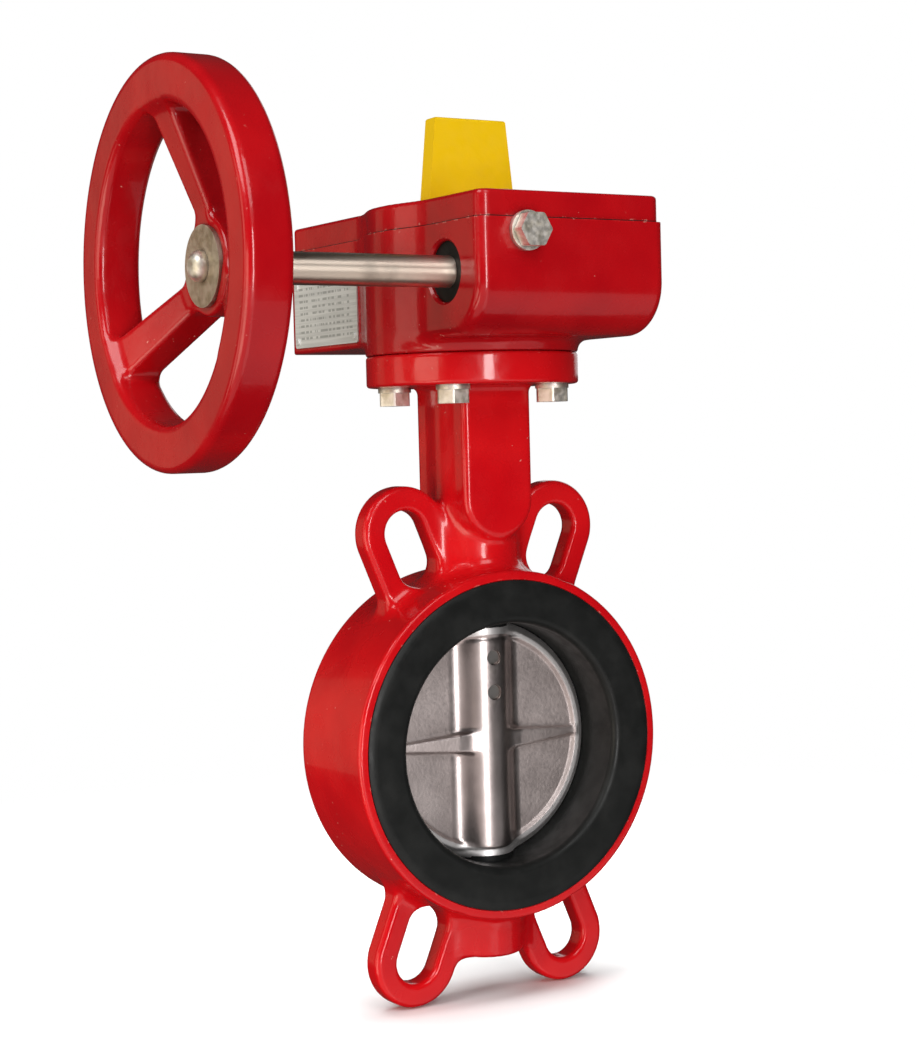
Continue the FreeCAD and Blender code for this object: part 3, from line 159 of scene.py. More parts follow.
def untangle(values):
    """Fill the diagonal spots of the grid, where four faces would share one edge."""
    while True:
        inside = values < 0
        tangled = np.zeros_like(inside)
        for axis in range(3):
            grid, marks = np.moveaxis(inside, axis, 2), np.moveaxis(tangled, axis, 2)
            a, b, c, d = grid[:-1, :-1], grid[1:, :-1], grid[:-1, 1:], grid[1:, 1:]
            diagonal = (a == d) & (b == c) & (a != b)
            for corner in (marks[:-1, :-1], marks[1:, :-1], marks[:-1, 1:], marks[1:, 1:]):
                corner |= diagonal
        if not tangled.any():
            return values
        values = np.where(tangled & ~inside, -TOUCH, values)


def check_closed(name, quads):
    """Stop if an edge of the surface isn't shared by exactly two faces: no cut would work on it."""
    edges = np.sort(np.concatenate([quads[:, [i, (i + 1) % 4]] for i in range(4)]), axis=1)
    shared = np.unique(edges[:, 0] * (quads.max() + 1) + edges[:, 1], return_counts=True)[1]
    if (shared != 2).any():
        raise ValueError(f"{name}: {int((shared != 2).sum())} edges of the casting are not closed")


def settle(field, points, rounds=3, probe=0.02):
    """Move points along the slope of the field until they lie on its surface."""
    for _ in range(rounds):
        here = field(*points.T)
        ahead = [field(*(points + probe * axis).T) for axis in np.eye(3)]
        slope = np.stack([(value - here) / probe for value in ahead], axis=1)
        size = np.maximum((slope * slope).sum(axis=1), 0.2)
        points = points - np.clip(here / size, -1, 1)[:, None] * slope
    return points


def cast(name, field, low, high, step):
    """Mesh object of the solid inside a field, between two corners in millimetres."""
    axes = [np.arange(a - CUT_STOCK - 2 * step, b + CUT_STOCK + 3 * step, step) + step * 0.37
            for a, b in zip(low, high)]
    grid = np.meshgrid(*axes, indexing="ij")
    values = untangle(field(*grid))
    inside = sum(cell_values(values < 0, corner).astype(np.int8) for corner in CORNERS)
    active = (inside > 0) & (inside < len(CORNERS))
    index = np.full(active.shape, -1)
    index[active] = np.arange(int(active.sum()))
    start = np.array([a[0] for a in axes])
    points = settle(field, start + surface_points(values, active) * step)
    quads = surface_quads(values, index)
    check_closed(name, quads)
    mesh = bpy.data.meshes.new(name)
    mesh.from_pydata((points * MM).tolist(), [], quads.tolist())
    mesh.shade_smooth()
    piece = bpy.data.objects.new(name, mesh)
    bpy.context.scene.collection.objects.link(piece)
    return piece


# ------------------------------------------------------------------- machining

def lathe(name, outline, axis, at=(0, 0, 0), sides=256):
    """A closed solid turned from (station, radius) pairs about an axis, in millimetres."""
    verts = []
    for station, radius in outline:
        for turn in range(sides):
            angle = 2 * math.pi * turn / sides
            around = (radius * math.cos(angle), radius * math.sin(angle))
            spots = {
                "X": (station, *around),
                "Y": (around[1], station, around[0]),
                "Z": (*around, station),
            }
            verts.append(Vector(spots[axis]) + Vector(at))
    faces = []
    for ring in range(len(outline) - 1):
        for turn in range(sides):
            ahead = (turn + 1) % sides
            a, b = ring * sides, (ring + 1) * sides
            faces.append((a + turn, a + ahead, b + ahead, b + turn))
    faces.append(tuple(reversed(range(sides))))
    faces.append(tuple(range((len(outline) - 1) * sides, len(outline) * sides)))
    mesh = bpy.data.meshes.new(name)
    mesh.from_pydata([v * MM for v in verts], [], faces)
    piece = bpy.data.objects.new(name, mesh)
    bpy.context.scene.collection.objects.link(piece)
    return piece


OVERRUN = 9.0                           # how far a cutter runs past the casting, mm
SHARP_DEGREES = 38                      # edges turned more than this stay crisp


def machine(piece, cutters):
    """Cut the finished faces and bores into a casting, and keep their edges crisp."""
    for cutter in cutters:
        cut = piece.modifiers.new("cut", "BOOLEAN")
        cut.operation = "DIFFERENCE"
        cut.solver = "MANIFOLD"
        cut.object = cutter
    graph = bpy.context.evaluated_depsgraph_get()
    made = bpy.data.meshes.new_from_object(piece.evaluated_get(graph))
    if len(made.vertices) == len(piece.data.vertices):
        raise ValueError(f"{piece.name}: no cut was made")
    piece.modifiers.clear()
    piece.data = made
    for cutter in cutters:
        bpy.data.objects.remove(cutter)
    piece.data.shade_smooth()
    piece.data.set_sharp_from_angle(angle=math.radians(SHARP_DEGREES))
    return piece


# ------------------------------------------------------------------- materials

class Finish:
    """A node material on one Principled shader, in the object's own coordinates."""

    def __init__(self, name, **constants):
        self.material = bpy.data.materials.new(name)
        self.material.use_nodes = True
        self.nodes = self.material.node_tree.nodes
        self.links = self.material.node_tree.links
        self.shader = self.nodes["Principled BSDF"]
        for socket, value in constants.items():
            self.shader.inputs[socket.replace("_", " ")].default_value = value
        self.coords = self.nodes.new("ShaderNodeTexCoord").outputs["Object"]

    def plug(self, socket, value):
        if hasattr(value, "links"):
            self.links.new(value, socket)
        elif isinstance(value, (tuple, list)) and len(value) == 3 and len(socket.default_value) == 4:
            socket.default_value = (*value, 1)
        else:
            socket.default_value = value

    def noise(self, size, detail=3.0, stretch=(1, 1, 1)):
        """Noise whose features are about `size` millimetres across."""
        mapping = self.nodes.new("ShaderNodeMapping")
        mapping.inputs["Scale"].default_value = [1 / s for s in stretch]
        self.links.new(self.coords, mapping.inputs["Vector"])
        node = self.nodes.new("ShaderNodeTexNoise")
        self.links.new(mapping.outputs[0], node.inputs["Vector"])
        node.inputs["Scale"].default_value = 1 / (size * MM)
        node.inputs["Detail"].default_value = detail
        return node.outputs["Fac"]

    def math(self, kind, a, b=0.0, c=0.0):
        node = self.nodes.new("ShaderNodeMath")
        node.operation = kind
        for socket, value in zip(node.inputs, (a, b, c)):
            self.plug(socket, value)
        return node.outputs[0]

    def fade(self, value, start, end, low=0.0, high=1.0, kind="SMOOTHSTEP"):
        """value carried smoothly from start..end to low..high."""
        node = self.nodes.new("ShaderNodeMapRange")
        node.interpolation_type = kind
        for socket, given in zip(node.inputs, (value, start, end, low, high)):
            self.plug(socket, given)
        return node.outputs["Result"]

    def mix(self, share, a, b):
        node = self.nodes.new("ShaderNodeMix")
        node.data_type = "RGBA"
        self.plug(node.inputs[0], share)
        self.plug(node.inputs[6], a)
        self.plug(node.inputs[7], b)
        return node.outputs[2]

    def mix_value(self, share, a, b):
        node = self.nodes.new("ShaderNodeMix")
        self.plug(node.inputs[0], share)
        self.plug(node.inputs[2], a)
        self.plug(node.inputs[3], b)
        return node.outputs[0]

    def along(self, axis):
        node = self.nodes.new("ShaderNodeSeparateXYZ")
        self.links.new(self.coords, node.inputs[0])
        return node.outputs[axis]

    def radius(self, axes, centre=(0.0, 0.0)):
        """Distance from an axis of the object, in metres."""
        squares = []
        for axis, middle in zip(axes, centre):
            offset = self.math("SUBTRACT", self.along(axis), middle)
            squares.append(self.math("MULTIPLY", offset, offset))
        return self.math("SQRT", self.math("ADD", *squares))

    def edges(self, reach):
        """1 on edges and in corners within `reach` millimetres, 0 on open faces."""
        bevel = self.nodes.new("ShaderNodeBevel")
        bevel.samples = 4
        bevel.inputs["Radius"].default_value = reach * MM
        geometry = self.nodes.new("ShaderNodeNewGeometry")
        dot = self.nodes.new("ShaderNodeVectorMath")
        dot.operation = "DOT_PRODUCT"
        self.links.new(bevel.outputs[0], dot.inputs[0])
        self.links.new(geometry.outputs["Normal"], dot.inputs[1])
        return self.fade(dot.outputs["Value"], 0.99, 0.86)

    def painted_shade_mask(self, reach):
        """Ambient occlusion, 1 in the open and falling to 0 deep in corners: the mask for painted shade in
        corners.
        """
        node = self.nodes.new("ShaderNodeAmbientOcclusion")
        node.samples = 6
        node.inputs["Distance"].default_value = reach * MM
        return node.outputs["AO"]

    def bump(self, *layers):
        """Stack of (height, depth in millimetres) layers as the surface relief."""
        normal = None
        for height, depth in layers:
            node = self.nodes.new("ShaderNodeBump")
            node.inputs["Distance"].default_value = depth * MM
            self.links.new(height, node.inputs["Height"])
            if normal is not None:
                self.links.new(normal, node.inputs["Normal"])
            normal = node.outputs[0]
        self.links.new(normal, self.shader.inputs["Normal"])
        return self

    def colour(self, value):
        self.plug(self.shader.inputs["Base Color"], value)
        return self

    def roughness(self, value):
        self.plug(self.shader.inputs["Roughness"], value)
        return self


def enamel(name, deep, bright, chip):
    """Thick gloss paint over a casting: painted shade in corners, thin and chipped on edges."""
    f = Finish(name, Coat_Weight=0.35, Coat_Roughness=0.06, Specular_IOR_Level=0.3)
    broad = f.noise(38, 2)
    colour = f.mix(f.fade(broad, 0.3, 0.7), deep, bright)
    # Painted shade: the deep red darkened to 0.45 of itself in corners found by ambient occlusion.
    painted_corner_shade = [channel * 0.45 for channel in deep]
    colour = f.mix(f.fade(f.painted_shade_mask(5), 0.35, 0.95, 0.75, 0.0), colour, painted_corner_shade)
    edge = f.edges(1.1)
    thin = f.math("MULTIPLY", edge, f.fade(f.noise(7, 4), 0.42, 0.62, 0.0, 0.55))
    colour = f.mix(thin, colour, [min(1.0, channel * 1.25 + 0.02) for channel in bright])
    spots = f.math("MULTIPLY", f.fade(f.noise(2.6, 3), 0.705, 0.735), f.fade(f.noise(24, 2), 0.5, 0.62))
    worn = f.math("MULTIPLY", edge, f.fade(f.noise(3.2, 4), 0.6, 0.66))
    marks = f.math("MAXIMUM", spots, worn)
    colour = f.mix(f.math("MULTIPLY", marks, 0.75), colour, chip)
    f.colour(colour)
    dull = f.fade(f.noise(16, 4), 0.35, 0.75, 0.2, 0.34)
    f.roughness(f.math("ADD", dull, f.math("MULTIPLY", marks, 0.3)))
    return f.bump((f.noise(19, 1), 0.35), (f.noise(4.2, 2), 0.1), (f.noise(1.1, 2), 0.018),
                  (f.math("SUBTRACT", 1.0, marks), 0.05)).material


def rubber():
    f = Finish("black_rubber", Specular_IOR_Level=0.22)
    dusty = f.fade(f.noise(14, 4), 0.4, 0.75)
    f.colour(f.mix(dusty, (0.0095, 0.0102, 0.0098), (0.0165, 0.0172, 0.0165)))
    f.roughness(f.fade(f.noise(6, 4), 0.3, 0.7, 0.34, 0.5))
    return f.bump((f.noise(0.7, 2), 0.02), (f.noise(9, 2), 0.1)).material


def cast_stainless():
    """Cast disc: blasted plates, a smoother hub, and a rim and hub ends turned bright."""
    f = Finish("stainless", Metallic=1.0)
    radius = f.radius(("X", "Z"))
    turned = f.fade(radius, 0.0462, 0.0468)
    hub_end = f.fade(f.math("ABSOLUTE", f.along("Z")), 0.0474, 0.0478)
    bright = f.math("MAXIMUM", turned, hub_end)
    plates = f.fade(f.radius(("X", "Y")), 0.0165, 0.0190)
    grain = f.noise(1.3, 4)
    mottle = f.fade(f.noise(17, 4), 0.3, 0.72)
    rough_face = f.mix(mottle, (0.50, 0.435, 0.42), (0.66, 0.58, 0.56))
    # Painted shade: the cast face darkened to dark brown in corners found by ambient occlusion.
    rough_face = f.mix(f.fade(f.painted_shade_mask(7), 0.3, 0.95, 0.8, 0.0), rough_face, (0.10, 0.075, 0.062))
    f.colour(f.mix(bright, rough_face, (0.88, 0.85, 0.84)))
    lines = f.noise(0.5, 2)
    face = f.mix_value(plates, f.fade(grain, 0.3, 0.7, 0.30, 0.36), f.fade(grain, 0.3, 0.7, 0.50, 0.60))
    f.roughness(f.mix_value(bright, face, 0.50))
    face_only = f.math("MULTIPLY", f.math("SUBTRACT", 1.0, bright), f.fade(plates, 0.0, 1.0, 0.12, 1.0))
    blasted, scored = f.math("MULTIPLY", grain, face_only), f.math("MULTIPLY", lines, bright)
    return f.bump((blasted, 0.14), (scored, 0.01)).material


def turned_steel(name, tint, axis, rough=0.34):
    """Bar turned in a lathe: fine rings round one axis, and a little tarnish."""
    f = Finish(name, Metallic=1.0, Anisotropic=0.85, Anisotropic_Rotation=0.25)
    around = f.nodes.new("ShaderNodeTangent")
    around.direction_type = "RADIAL"
    around.axis = axis
    f.links.new(around.outputs[0], f.shader.inputs["Tangent"])
    stretch = [12.0 if a != axis else 0.35 for a in "XYZ"]
    rings = f.noise(1.0, 3, stretch=stretch)
    tarnish = f.fade(f.noise(15, 4), 0.42, 0.75)
    f.colour(f.mix(tarnish, tint, [c * 0.66 for c in tint]))
    f.roughness(f.mix_value(tarnish, rough, rough + 0.1))
    return f.bump((rings, 0.012), (f.noise(2.5, 3), 0.01)).material


def plated(name, tint, rough=0.3):
    """Zinc-plated fastener: bright, blotchy, rubbed on its corners, with painted shade in its hollows."""
    f = Finish(name, Metallic=1.0)
    blotch = f.fade(f.noise(4.5, 4), 0.38, 0.7)
    colour = f.mix(blotch, tint, [tint[0] * 0.72, tint[1] * 0.7, tint[2] * 0.62])
    colour = f.mix(f.math("MULTIPLY", f.edges(0.5), 0.5), colour, (0.85, 0.84, 0.82))
    # Painted shade: near black in corners found by ambient occlusion.
    colour = f.mix(f.fade(f.painted_shade_mask(2.5), 0.2, 0.9, 0.85, 0.0), colour, (0.06, 0.05, 0.045))
    f.colour(colour)
    f.roughness(f.fade(f.noise(2.2, 3), 0.3, 0.7, rough, rough + 0.16))
    return f.bump((f.noise(1.2, 3), 0.03)).material


def cast_metal(name, tint, rough):
    """Unpainted gear iron or bronze: machined, with a dry oily film."""
    f = Finish(name, Metallic=1.0)
    film = f.fade(f.noise(8, 4), 0.4, 0.7)
    f.colour(f.mix(film, tint, [c * 0.5 for c in tint]))
    f.roughness(f.fade(f.noise(3, 3), 0.3, 0.7, rough, rough + 0.2))
    return f.bump((f.noise(1.4, 3), 0.04)).material


def plastic(name, tint, shade, rough):
    """Moulded plastic with a faint spark-eroded texture, and painted shade in its corners."""
    f = Finish(name, Specular_IOR_Level=0.45)
    soiled = f.fade(f.noise(20, 4), 0.45, 0.75, 0.0, 0.6)
    colour = f.mix(soiled, tint, shade)
    # Painted shade: the darker tone halved in corners found by ambient occlusion.
    colour = f.mix(f.fade(f.painted_shade_mask(6), 0.3, 0.95, 0.6, 0.0), colour, [c * 0.5 for c in shade])
    f.colour(colour)
    f.roughness(f.fade(f.noise(5, 3), 0.3, 0.7, rough, rough + 0.12))
    return f.bump((f.noise(0.6, 2), 0.02), (f.noise(12, 2), 0.08)).material


def printed_label():
    """Brushed aluminium plate with generic grey rules and cells, and no lettering."""
    f = Finish("label_aluminium", Metallic=0.35)
    low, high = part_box("label_plate")
    across = f.fade(f.along("Y"), low[1], high[1], kind="LINEAR")
    up = f.fade(f.along("Z"), low[2], high[2], kind="LINEAR")
    rows = f.math("FRACT", f.math("MULTIPLY", up, 11.0))
    in_row = f.math("MULTIPLY", f.fade(rows, 0.28, 0.34), f.fade(rows, 0.72, 0.66))
    broken = f.fade(f.noise(1.7, 1, stretch=(1, 1, 9)), 0.47, 0.5)
    inside = f.math("MULTIPLY", f.fade(f.math("ABSOLUTE", f.math("SUBTRACT", across, 0.5)), 0.43, 0.42),
                    f.fade(f.math("ABSOLUTE", f.math("SUBTRACT", up, 0.5)), 0.42, 0.41))
    marks = f.math("MULTIPLY", f.math("MULTIPLY", in_row, broken), inside)
    brushed = f.fade(f.noise(1, 3, stretch=(1, 40, 1)), 0.35, 0.65)
    plate = f.mix(brushed, (0.62, 0.63, 0.62), (0.75, 0.76, 0.75))
    f.colour(f.mix(f.math("MULTIPLY", marks, 0.6), plate, (0.22, 0.23, 0.22)))
    f.roughness(f.fade(f.noise(3, 3), 0.3, 0.7, 0.34, 0.46))
    return f.bump((f.noise(1, 3, stretch=(1, 40, 1)), 0.01)).material


FINISHES = {
    "red_enamel": enamel("red_enamel", (0.56, 0.0022, 0.006), (0.68, 0.006, 0.009), (0.80, 0.36, 0.30)),
    "gear_enamel": enamel("gear_enamel", (0.38, 0.0015, 0.005), (0.48, 0.004, 0.007), (0.72, 0.34, 0.28)),
    "black_rubber": rubber(),
    "stainless": cast_stainless(),
    "shaft_steel": turned_steel("shaft_steel", (0.86, 0.74, 0.62), "X", 0.42),
    "stem_steel": turned_steel("stem_steel", (0.62, 0.58, 0.55), "Z"),
    "gear_iron": cast_metal("gear_iron", (0.20, 0.195, 0.19), 0.4),
    "bronze": cast_metal("bronze", (0.52, 0.33, 0.14), 0.3),
    "plated_steel": plated("plated_steel", (0.90, 0.85, 0.78), 0.42),
    "wheel_washer_steel": plated("wheel_washer_steel", (0.60, 0.52, 0.42), 0.46),
    "yellow_plastic": plastic("yellow_plastic", (0.92, 0.60, 0.001), (0.84, 0.53, 0.001), 0.36),
    "white_plastic": plastic("white_plastic", (0.72, 0.70, 0.64), (0.62, 0.59, 0.51), 0.36),
    "black_plastic": plastic("black_plastic", (0.014, 0.014, 0.015), (0.03, 0.03, 0.031), 0.4),
    "nickel_brass": plated("nickel_brass", (0.62, 0.57, 0.47), 0.24),
    "label_aluminium": printed_label(),
}


def dress(piece, finish):
    piece.data.materials.clear()
    piece.data.materials.append(FINISHES[finish])


def cast_node(node, field, step):
    """A casting drawn in the room of the CAD node that it stands for."""
    low, high = (Vector(corner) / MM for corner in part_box(node))
    return cast(node + "_casting", field, low, high, step)


def finish_casting(piece, cutters, node, body, finish):
    machine(piece, cutters)
    dress(piece, finish)
    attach(piece, body)
    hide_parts(node)


# ------------------------------------------------------------------ valve body

RING_R, RING_HALF = 74.5, 26.0
RING_BORE_R = 61.0
FACE_RECESS_R, FACE_RECESS_DEPTH = 70.4, 4.0
NECK_R, NECK_TOP_Z = 18.0, 160.0
PANEL_HALF, PANEL_Y, PANEL_END_Z = 17.0, 20.4, 105.0
FLANGE_R, FLANGE_Z = 45.8, (153.6, 167.0)
BOSS_R, BOSS_BOTTOM_Z = 16.0, -93.0
EAR_ANGLE, EAR_END_R, EAR_HALF, EAR_HALF_THICK = 22.5, 99.0, 20.0, 5.5
SLOT_START_R, SLOT_HALF = 84.0, 9.2
STEM_BORE_R, STEM_BORE_Z = 11.0, -88.0
FLANGE_HOLE_R, FLANGE_PCD = 4.4, 70.0
TOP_RECESS_R, TOP_RECESS_Z = 14.0, 155.0
ROOT_Z = 60.0                           # neck and boss start inside the ring, this far from its axis
EAR_START_R = RING_BORE_R + 8
RING_EDGE, NECK_EDGE, BOSS_EDGE, FLANGE_EDGE = 1.6, 1.0, 2.2, 1.4
PANEL_EDGE, EAR_EDGE, SLOT_EDGE = 2.8, 2.7, 2.0
NECK_FILLET, BOSS_FILLET, EAR_FILLET, PANEL_FILLET, FLANGE_FILLET = 8.0, 7.0, 8.0, 3.5, 4.0


def ear_plane(x, z, side, angle):
    """Coordinates across and along an ear that leans by `angle` from the stem."""
    turn = math.radians(angle)
    across = x * math.cos(turn) - side * z * math.sin(turn)
    along = x * math.sin(turn) + side * z * math.cos(turn)
    return across, along


def body_field(x, y, z):
    round_pipe = np.hypot(x, z)
    round_stem = np.hypot(x, y)
    ring = thick(round_pipe - RING_R, y, RING_HALF, RING_EDGE)
    neck = thick(round_stem - NECK_R, z - (NECK_TOP_Z + ROOT_Z) / 2, (NECK_TOP_Z - ROOT_Z) / 2, NECK_EDGE)
    boss_half = (-ROOT_Z - BOSS_BOTTOM_Z) / 2
    boss = thick(round_stem - BOSS_R, z - (BOSS_BOTTOM_Z - ROOT_Z) / 2, boss_half, BOSS_EDGE)
    flange_mid = sum(FLANGE_Z) / 2
    flange = thick(round_stem - FLANGE_R, z - flange_mid, FLANGE_Z[1] - flange_mid, FLANGE_EDGE)
    panel_outline = np.maximum(segment(x, z, PANEL_END_Z, FLANGE_Z[1]) - PANEL_HALF, z - NECK_TOP_Z)
    panel = thick(panel_outline, y, PANEL_Y, PANEL_EDGE)
    body = blend(ring, neck, NECK_FILLET)
    body = blend(body, boss, BOSS_FILLET)
    slots = None
    for side in (1, -1):
        for angle in (-EAR_ANGLE, EAR_ANGLE):
            across, along = ear_plane(x, z, side, angle)
            strap = segment(across, along, EAR_START_R, EAR_END_R) - EAR_HALF
            slot = segment(across, along, SLOT_START_R, EAR_END_R) - SLOT_HALF
            outline = np.maximum(strap, -slot)
            body = blend(body, thick(outline, y, EAR_HALF_THICK, EAR_EDGE), EAR_FILLET)
            slots = slot if slots is None else np.minimum(slots, slot)
    body = blend(body, panel, PANEL_FILLET)
    body = blend(body, flange, FLANGE_FILLET)
    return carve(body, slots, SLOT_EDGE)


def make_body():
    piece = cast_node("valve_body", body_field, STEP)
    past = RING_HALF + 6
    recess_y = RING_HALF - FACE_RECESS_DEPTH
    bore = lathe("bore", [
        (-past, FACE_RECESS_R + 6.4), (-RING_HALF - 0.01, FACE_RECESS_R + 0.4),
        (-RING_HALF + 0.4, FACE_RECESS_R), (-recess_y, FACE_RECESS_R), (-recess_y, RING_BORE_R),
        (recess_y, RING_BORE_R), (recess_y, FACE_RECESS_R), (RING_HALF - 0.4, FACE_RECESS_R),
        (RING_HALF + 0.01, FACE_RECESS_R + 0.4), (past, FACE_RECESS_R + 6.4),
    ], "Y")
    stem_bore = lathe("stem_bore", [
        (STEM_BORE_Z, STEM_BORE_R), (TOP_RECESS_Z, STEM_BORE_R), (TOP_RECESS_Z, TOP_RECESS_R),
        (FLANGE_Z[1] + OVERRUN, TOP_RECESS_R),
    ], "Z", sides=96)
    over_z, over_r = FLANGE_Z[1] + OVERRUN, FLANGE_R + OVERRUN
    top_face = lathe("top_face", [(FLANGE_Z[1], over_r), (over_z, over_r)], "Z", sides=64)
    reach = FLANGE_PCD / 2 * math.sqrt(0.5)
    holes = [
        lathe("hole", [(FLANGE_Z[0] - OVERRUN, FLANGE_HOLE_R), (FLANGE_Z[1] + OVERRUN, FLANGE_HOLE_R)], "Z",
              (side_x * reach, side_y * reach, 0), 48)
        for side_x in (-1, 1) for side_y in (-1, 1)
    ]
    finish_casting(piece, [bore, stem_bore, top_face] + holes, "valve_body", "valve_frame", "red_enamel")


# --------------------------------------------------------- gear case and cover

CASE_X = (-40.0, 51.0)
CASE_FRONT_Y, CASE_NOSE_R, CASE_NOSE_Z = -73.0, 22.0, 172.4
CASE_ROUND, CASE_FILLET = 5.0, 6.0
CASE_R, CASE_BASE_Z, SEAM_Z = 45.8, 167.0, 218.4
REAR_HALF_X, REAR_Y, REAR_BASE_Z = 37.0, (10.0, 100.0), 171.6
WALL = 5.0
GEAR_ROOM_R, GEAR_FLOOR_Z = 40.0, 180.0
WORM_ROOM_R, WORM_ROOM_X = 14.5, 24.8
POST_R = 5.5
COVER_SCREWS = [(-31.5, -65.5), (40.5, -65.5), (31, 31), (-31, 31), (30, 93), (-30, 93)]
COVER_Z, COVER_INSET, COVER_WALL, COVER_ROOF = (218.9, 229.4), 1.2, 6.5, 5.9
SHAFT_Y, SHAFT_Z = -45.0, 198.6
STOP_R, STOP_OFFSET, STOP_Z, STOP_BOSS_X = 4.0, 18.0, 213.0, 47.5
PORT_R, PORT_STEP_X, BUSH_R, PORT_CHAMFER = 12.5, -33.0, 10.0, 1.0
SWITCH_ROOM_Y = (25.0, 95.0)
CASE_EDGE = 2.0
STOP_BOSS_START_X, STOP_BOSS_HALF, STOP_BOSS_DEPTH, STOP_BOSS_FILLET = 25.0, 8, 9, 3.0
GLAND_R, GLAND_Z = 10.0, 194.0
WHEEL_SEAT_R = 16.05
FLANGE_BOLT_R, FLANGE_BOLT_TOP_Z = 4.0, 178
COVER_TAP_R, COVER_TAP_DEPTH = 2.5, 14
SPINDLE_HOLE_R = 7.05
COVER_HEAD_R, COVER_HEAD_DEPTH, COVER_SHANK_R = 4.65, 5.3, 2.9
COVER_EDGE = 1.6


def case_plan(x, y, inset):
    """Plan outline of the case: the worm's block, the wheel's round and the rear box."""
    nose_mid, nose_half = sum(CASE_X) / 2, (CASE_X[1] - CASE_X[0]) / 2
    nose_depth = (REAR_Y[0] - CASE_FRONT_Y) / 2
    nose = rectangle(x - nose_mid, y - REAR_Y[0] + nose_depth,
                     nose_half - inset, nose_depth - inset, CASE_ROUND)
    wheel = np.hypot(x, y) - CASE_R + inset
    rear_mid, rear_half = sum(REAR_Y) / 2, (REAR_Y[1] - REAR_Y[0]) / 2
    rear = rectangle(x, y - rear_mid, REAR_HALF_X - inset, rear_half - inset, CASE_ROUND)
    return blend(blend(nose, wheel, CASE_FILLET), rear, CASE_FILLET)


def posts(x, y, spots, radius):
    return np.minimum.reduce([np.hypot(x - px, y - py) - radius for px, py in spots])


def case_room(x, y, z):
    """The hollow of the case, with its screw posts left standing."""
    rear = block(x, y, z, (-REAR_HALF_X + WALL, SWITCH_ROOM_Y[0], REAR_BASE_Z + WALL),
                 (REAR_HALF_X - WALL, SWITCH_ROOM_Y[1], SEAM_Z + OVERRUN), CASE_EDGE)
    wheel = np.maximum(np.hypot(x, y) - GEAR_ROOM_R, GEAR_FLOOR_Z - z)
    worm = np.hypot(y - SHAFT_Y, np.minimum(z - SHAFT_Z, 0)) - WORM_ROOM_R
    worm = np.maximum(np.maximum(worm, np.abs(x) - WORM_ROOM_X), y)
    room = np.minimum(np.minimum(rear, wheel), worm)
    return np.maximum(room, -posts(x, y, COVER_SCREWS[2:], POST_R))


def case_field(x, y, z):
    forward = CASE_FRONT_Y + CASE_NOSE_R - y
    down = CASE_NOSE_Z + CASE_NOSE_R - z
    nose = np.hypot(np.maximum(forward, 0), np.maximum(down, 0)) + np.minimum(np.maximum(forward, down), 0)
    nose_mid, nose_half = sum(CASE_X) / 2, (CASE_X[1] - CASE_X[0]) / 2
    nose = np.maximum(thick(nose - CASE_NOSE_R, x - nose_mid, nose_half, CASE_ROUND), y - REAR_Y[0])
    over = SEAM_Z + 6
    wheel = thick(np.hypot(x, y) - CASE_R, z - (CASE_BASE_Z + over) / 2, (over - CASE_BASE_Z) / 2, 1.0)
    rear = block(x, y, z, (-REAR_HALF_X, REAR_Y[0], REAR_BASE_Z), (REAR_HALF_X, REAR_Y[1], over), CASE_EDGE)
    rear_mid, rear_half = sum(REAR_Y) / 2, (REAR_Y[1] - REAR_Y[0]) / 2
    rear = np.maximum(rear, rectangle(x, y - rear_mid, REAR_HALF_X, rear_half, CASE_ROUND))
    boss = block(x, y, z, (STOP_BOSS_START_X, STOP_OFFSET - STOP_BOSS_HALF, STOP_Z - STOP_BOSS_DEPTH),
                 (STOP_BOSS_X, STOP_OFFSET + STOP_BOSS_HALF, over), CASE_EDGE)
    case = blend(blend(nose, wheel, CASE_FILLET), rear, CASE_FILLET)
    case = np.maximum(blend(case, boss, STOP_BOSS_FILLET), z - SEAM_Z - CUT_STOCK)
    return carve(case, case_room(x, y, z), 1.0)


def cuboid(name, low, high):
    corners = [Vector([(low, high)[c][i] for i, c in enumerate(corner)]) * MM for corner in CORNERS]
    faces = [(0, 1, 3, 2), (4, 6, 7, 5), (0, 4, 5, 1), (2, 3, 7, 6), (0, 2, 6, 4), (1, 5, 7, 3)]
    mesh = bpy.data.meshes.new(name)
    mesh.from_pydata(corners, [], faces)
    piece = bpy.data.objects.new(name, mesh)
    bpy.context.scene.collection.objects.link(piece)
    return piece


def hole(radius, start, end, axis, at, sides=96):
    return lathe("hole", [(start, radius), (end, radius)], axis, at, sides)


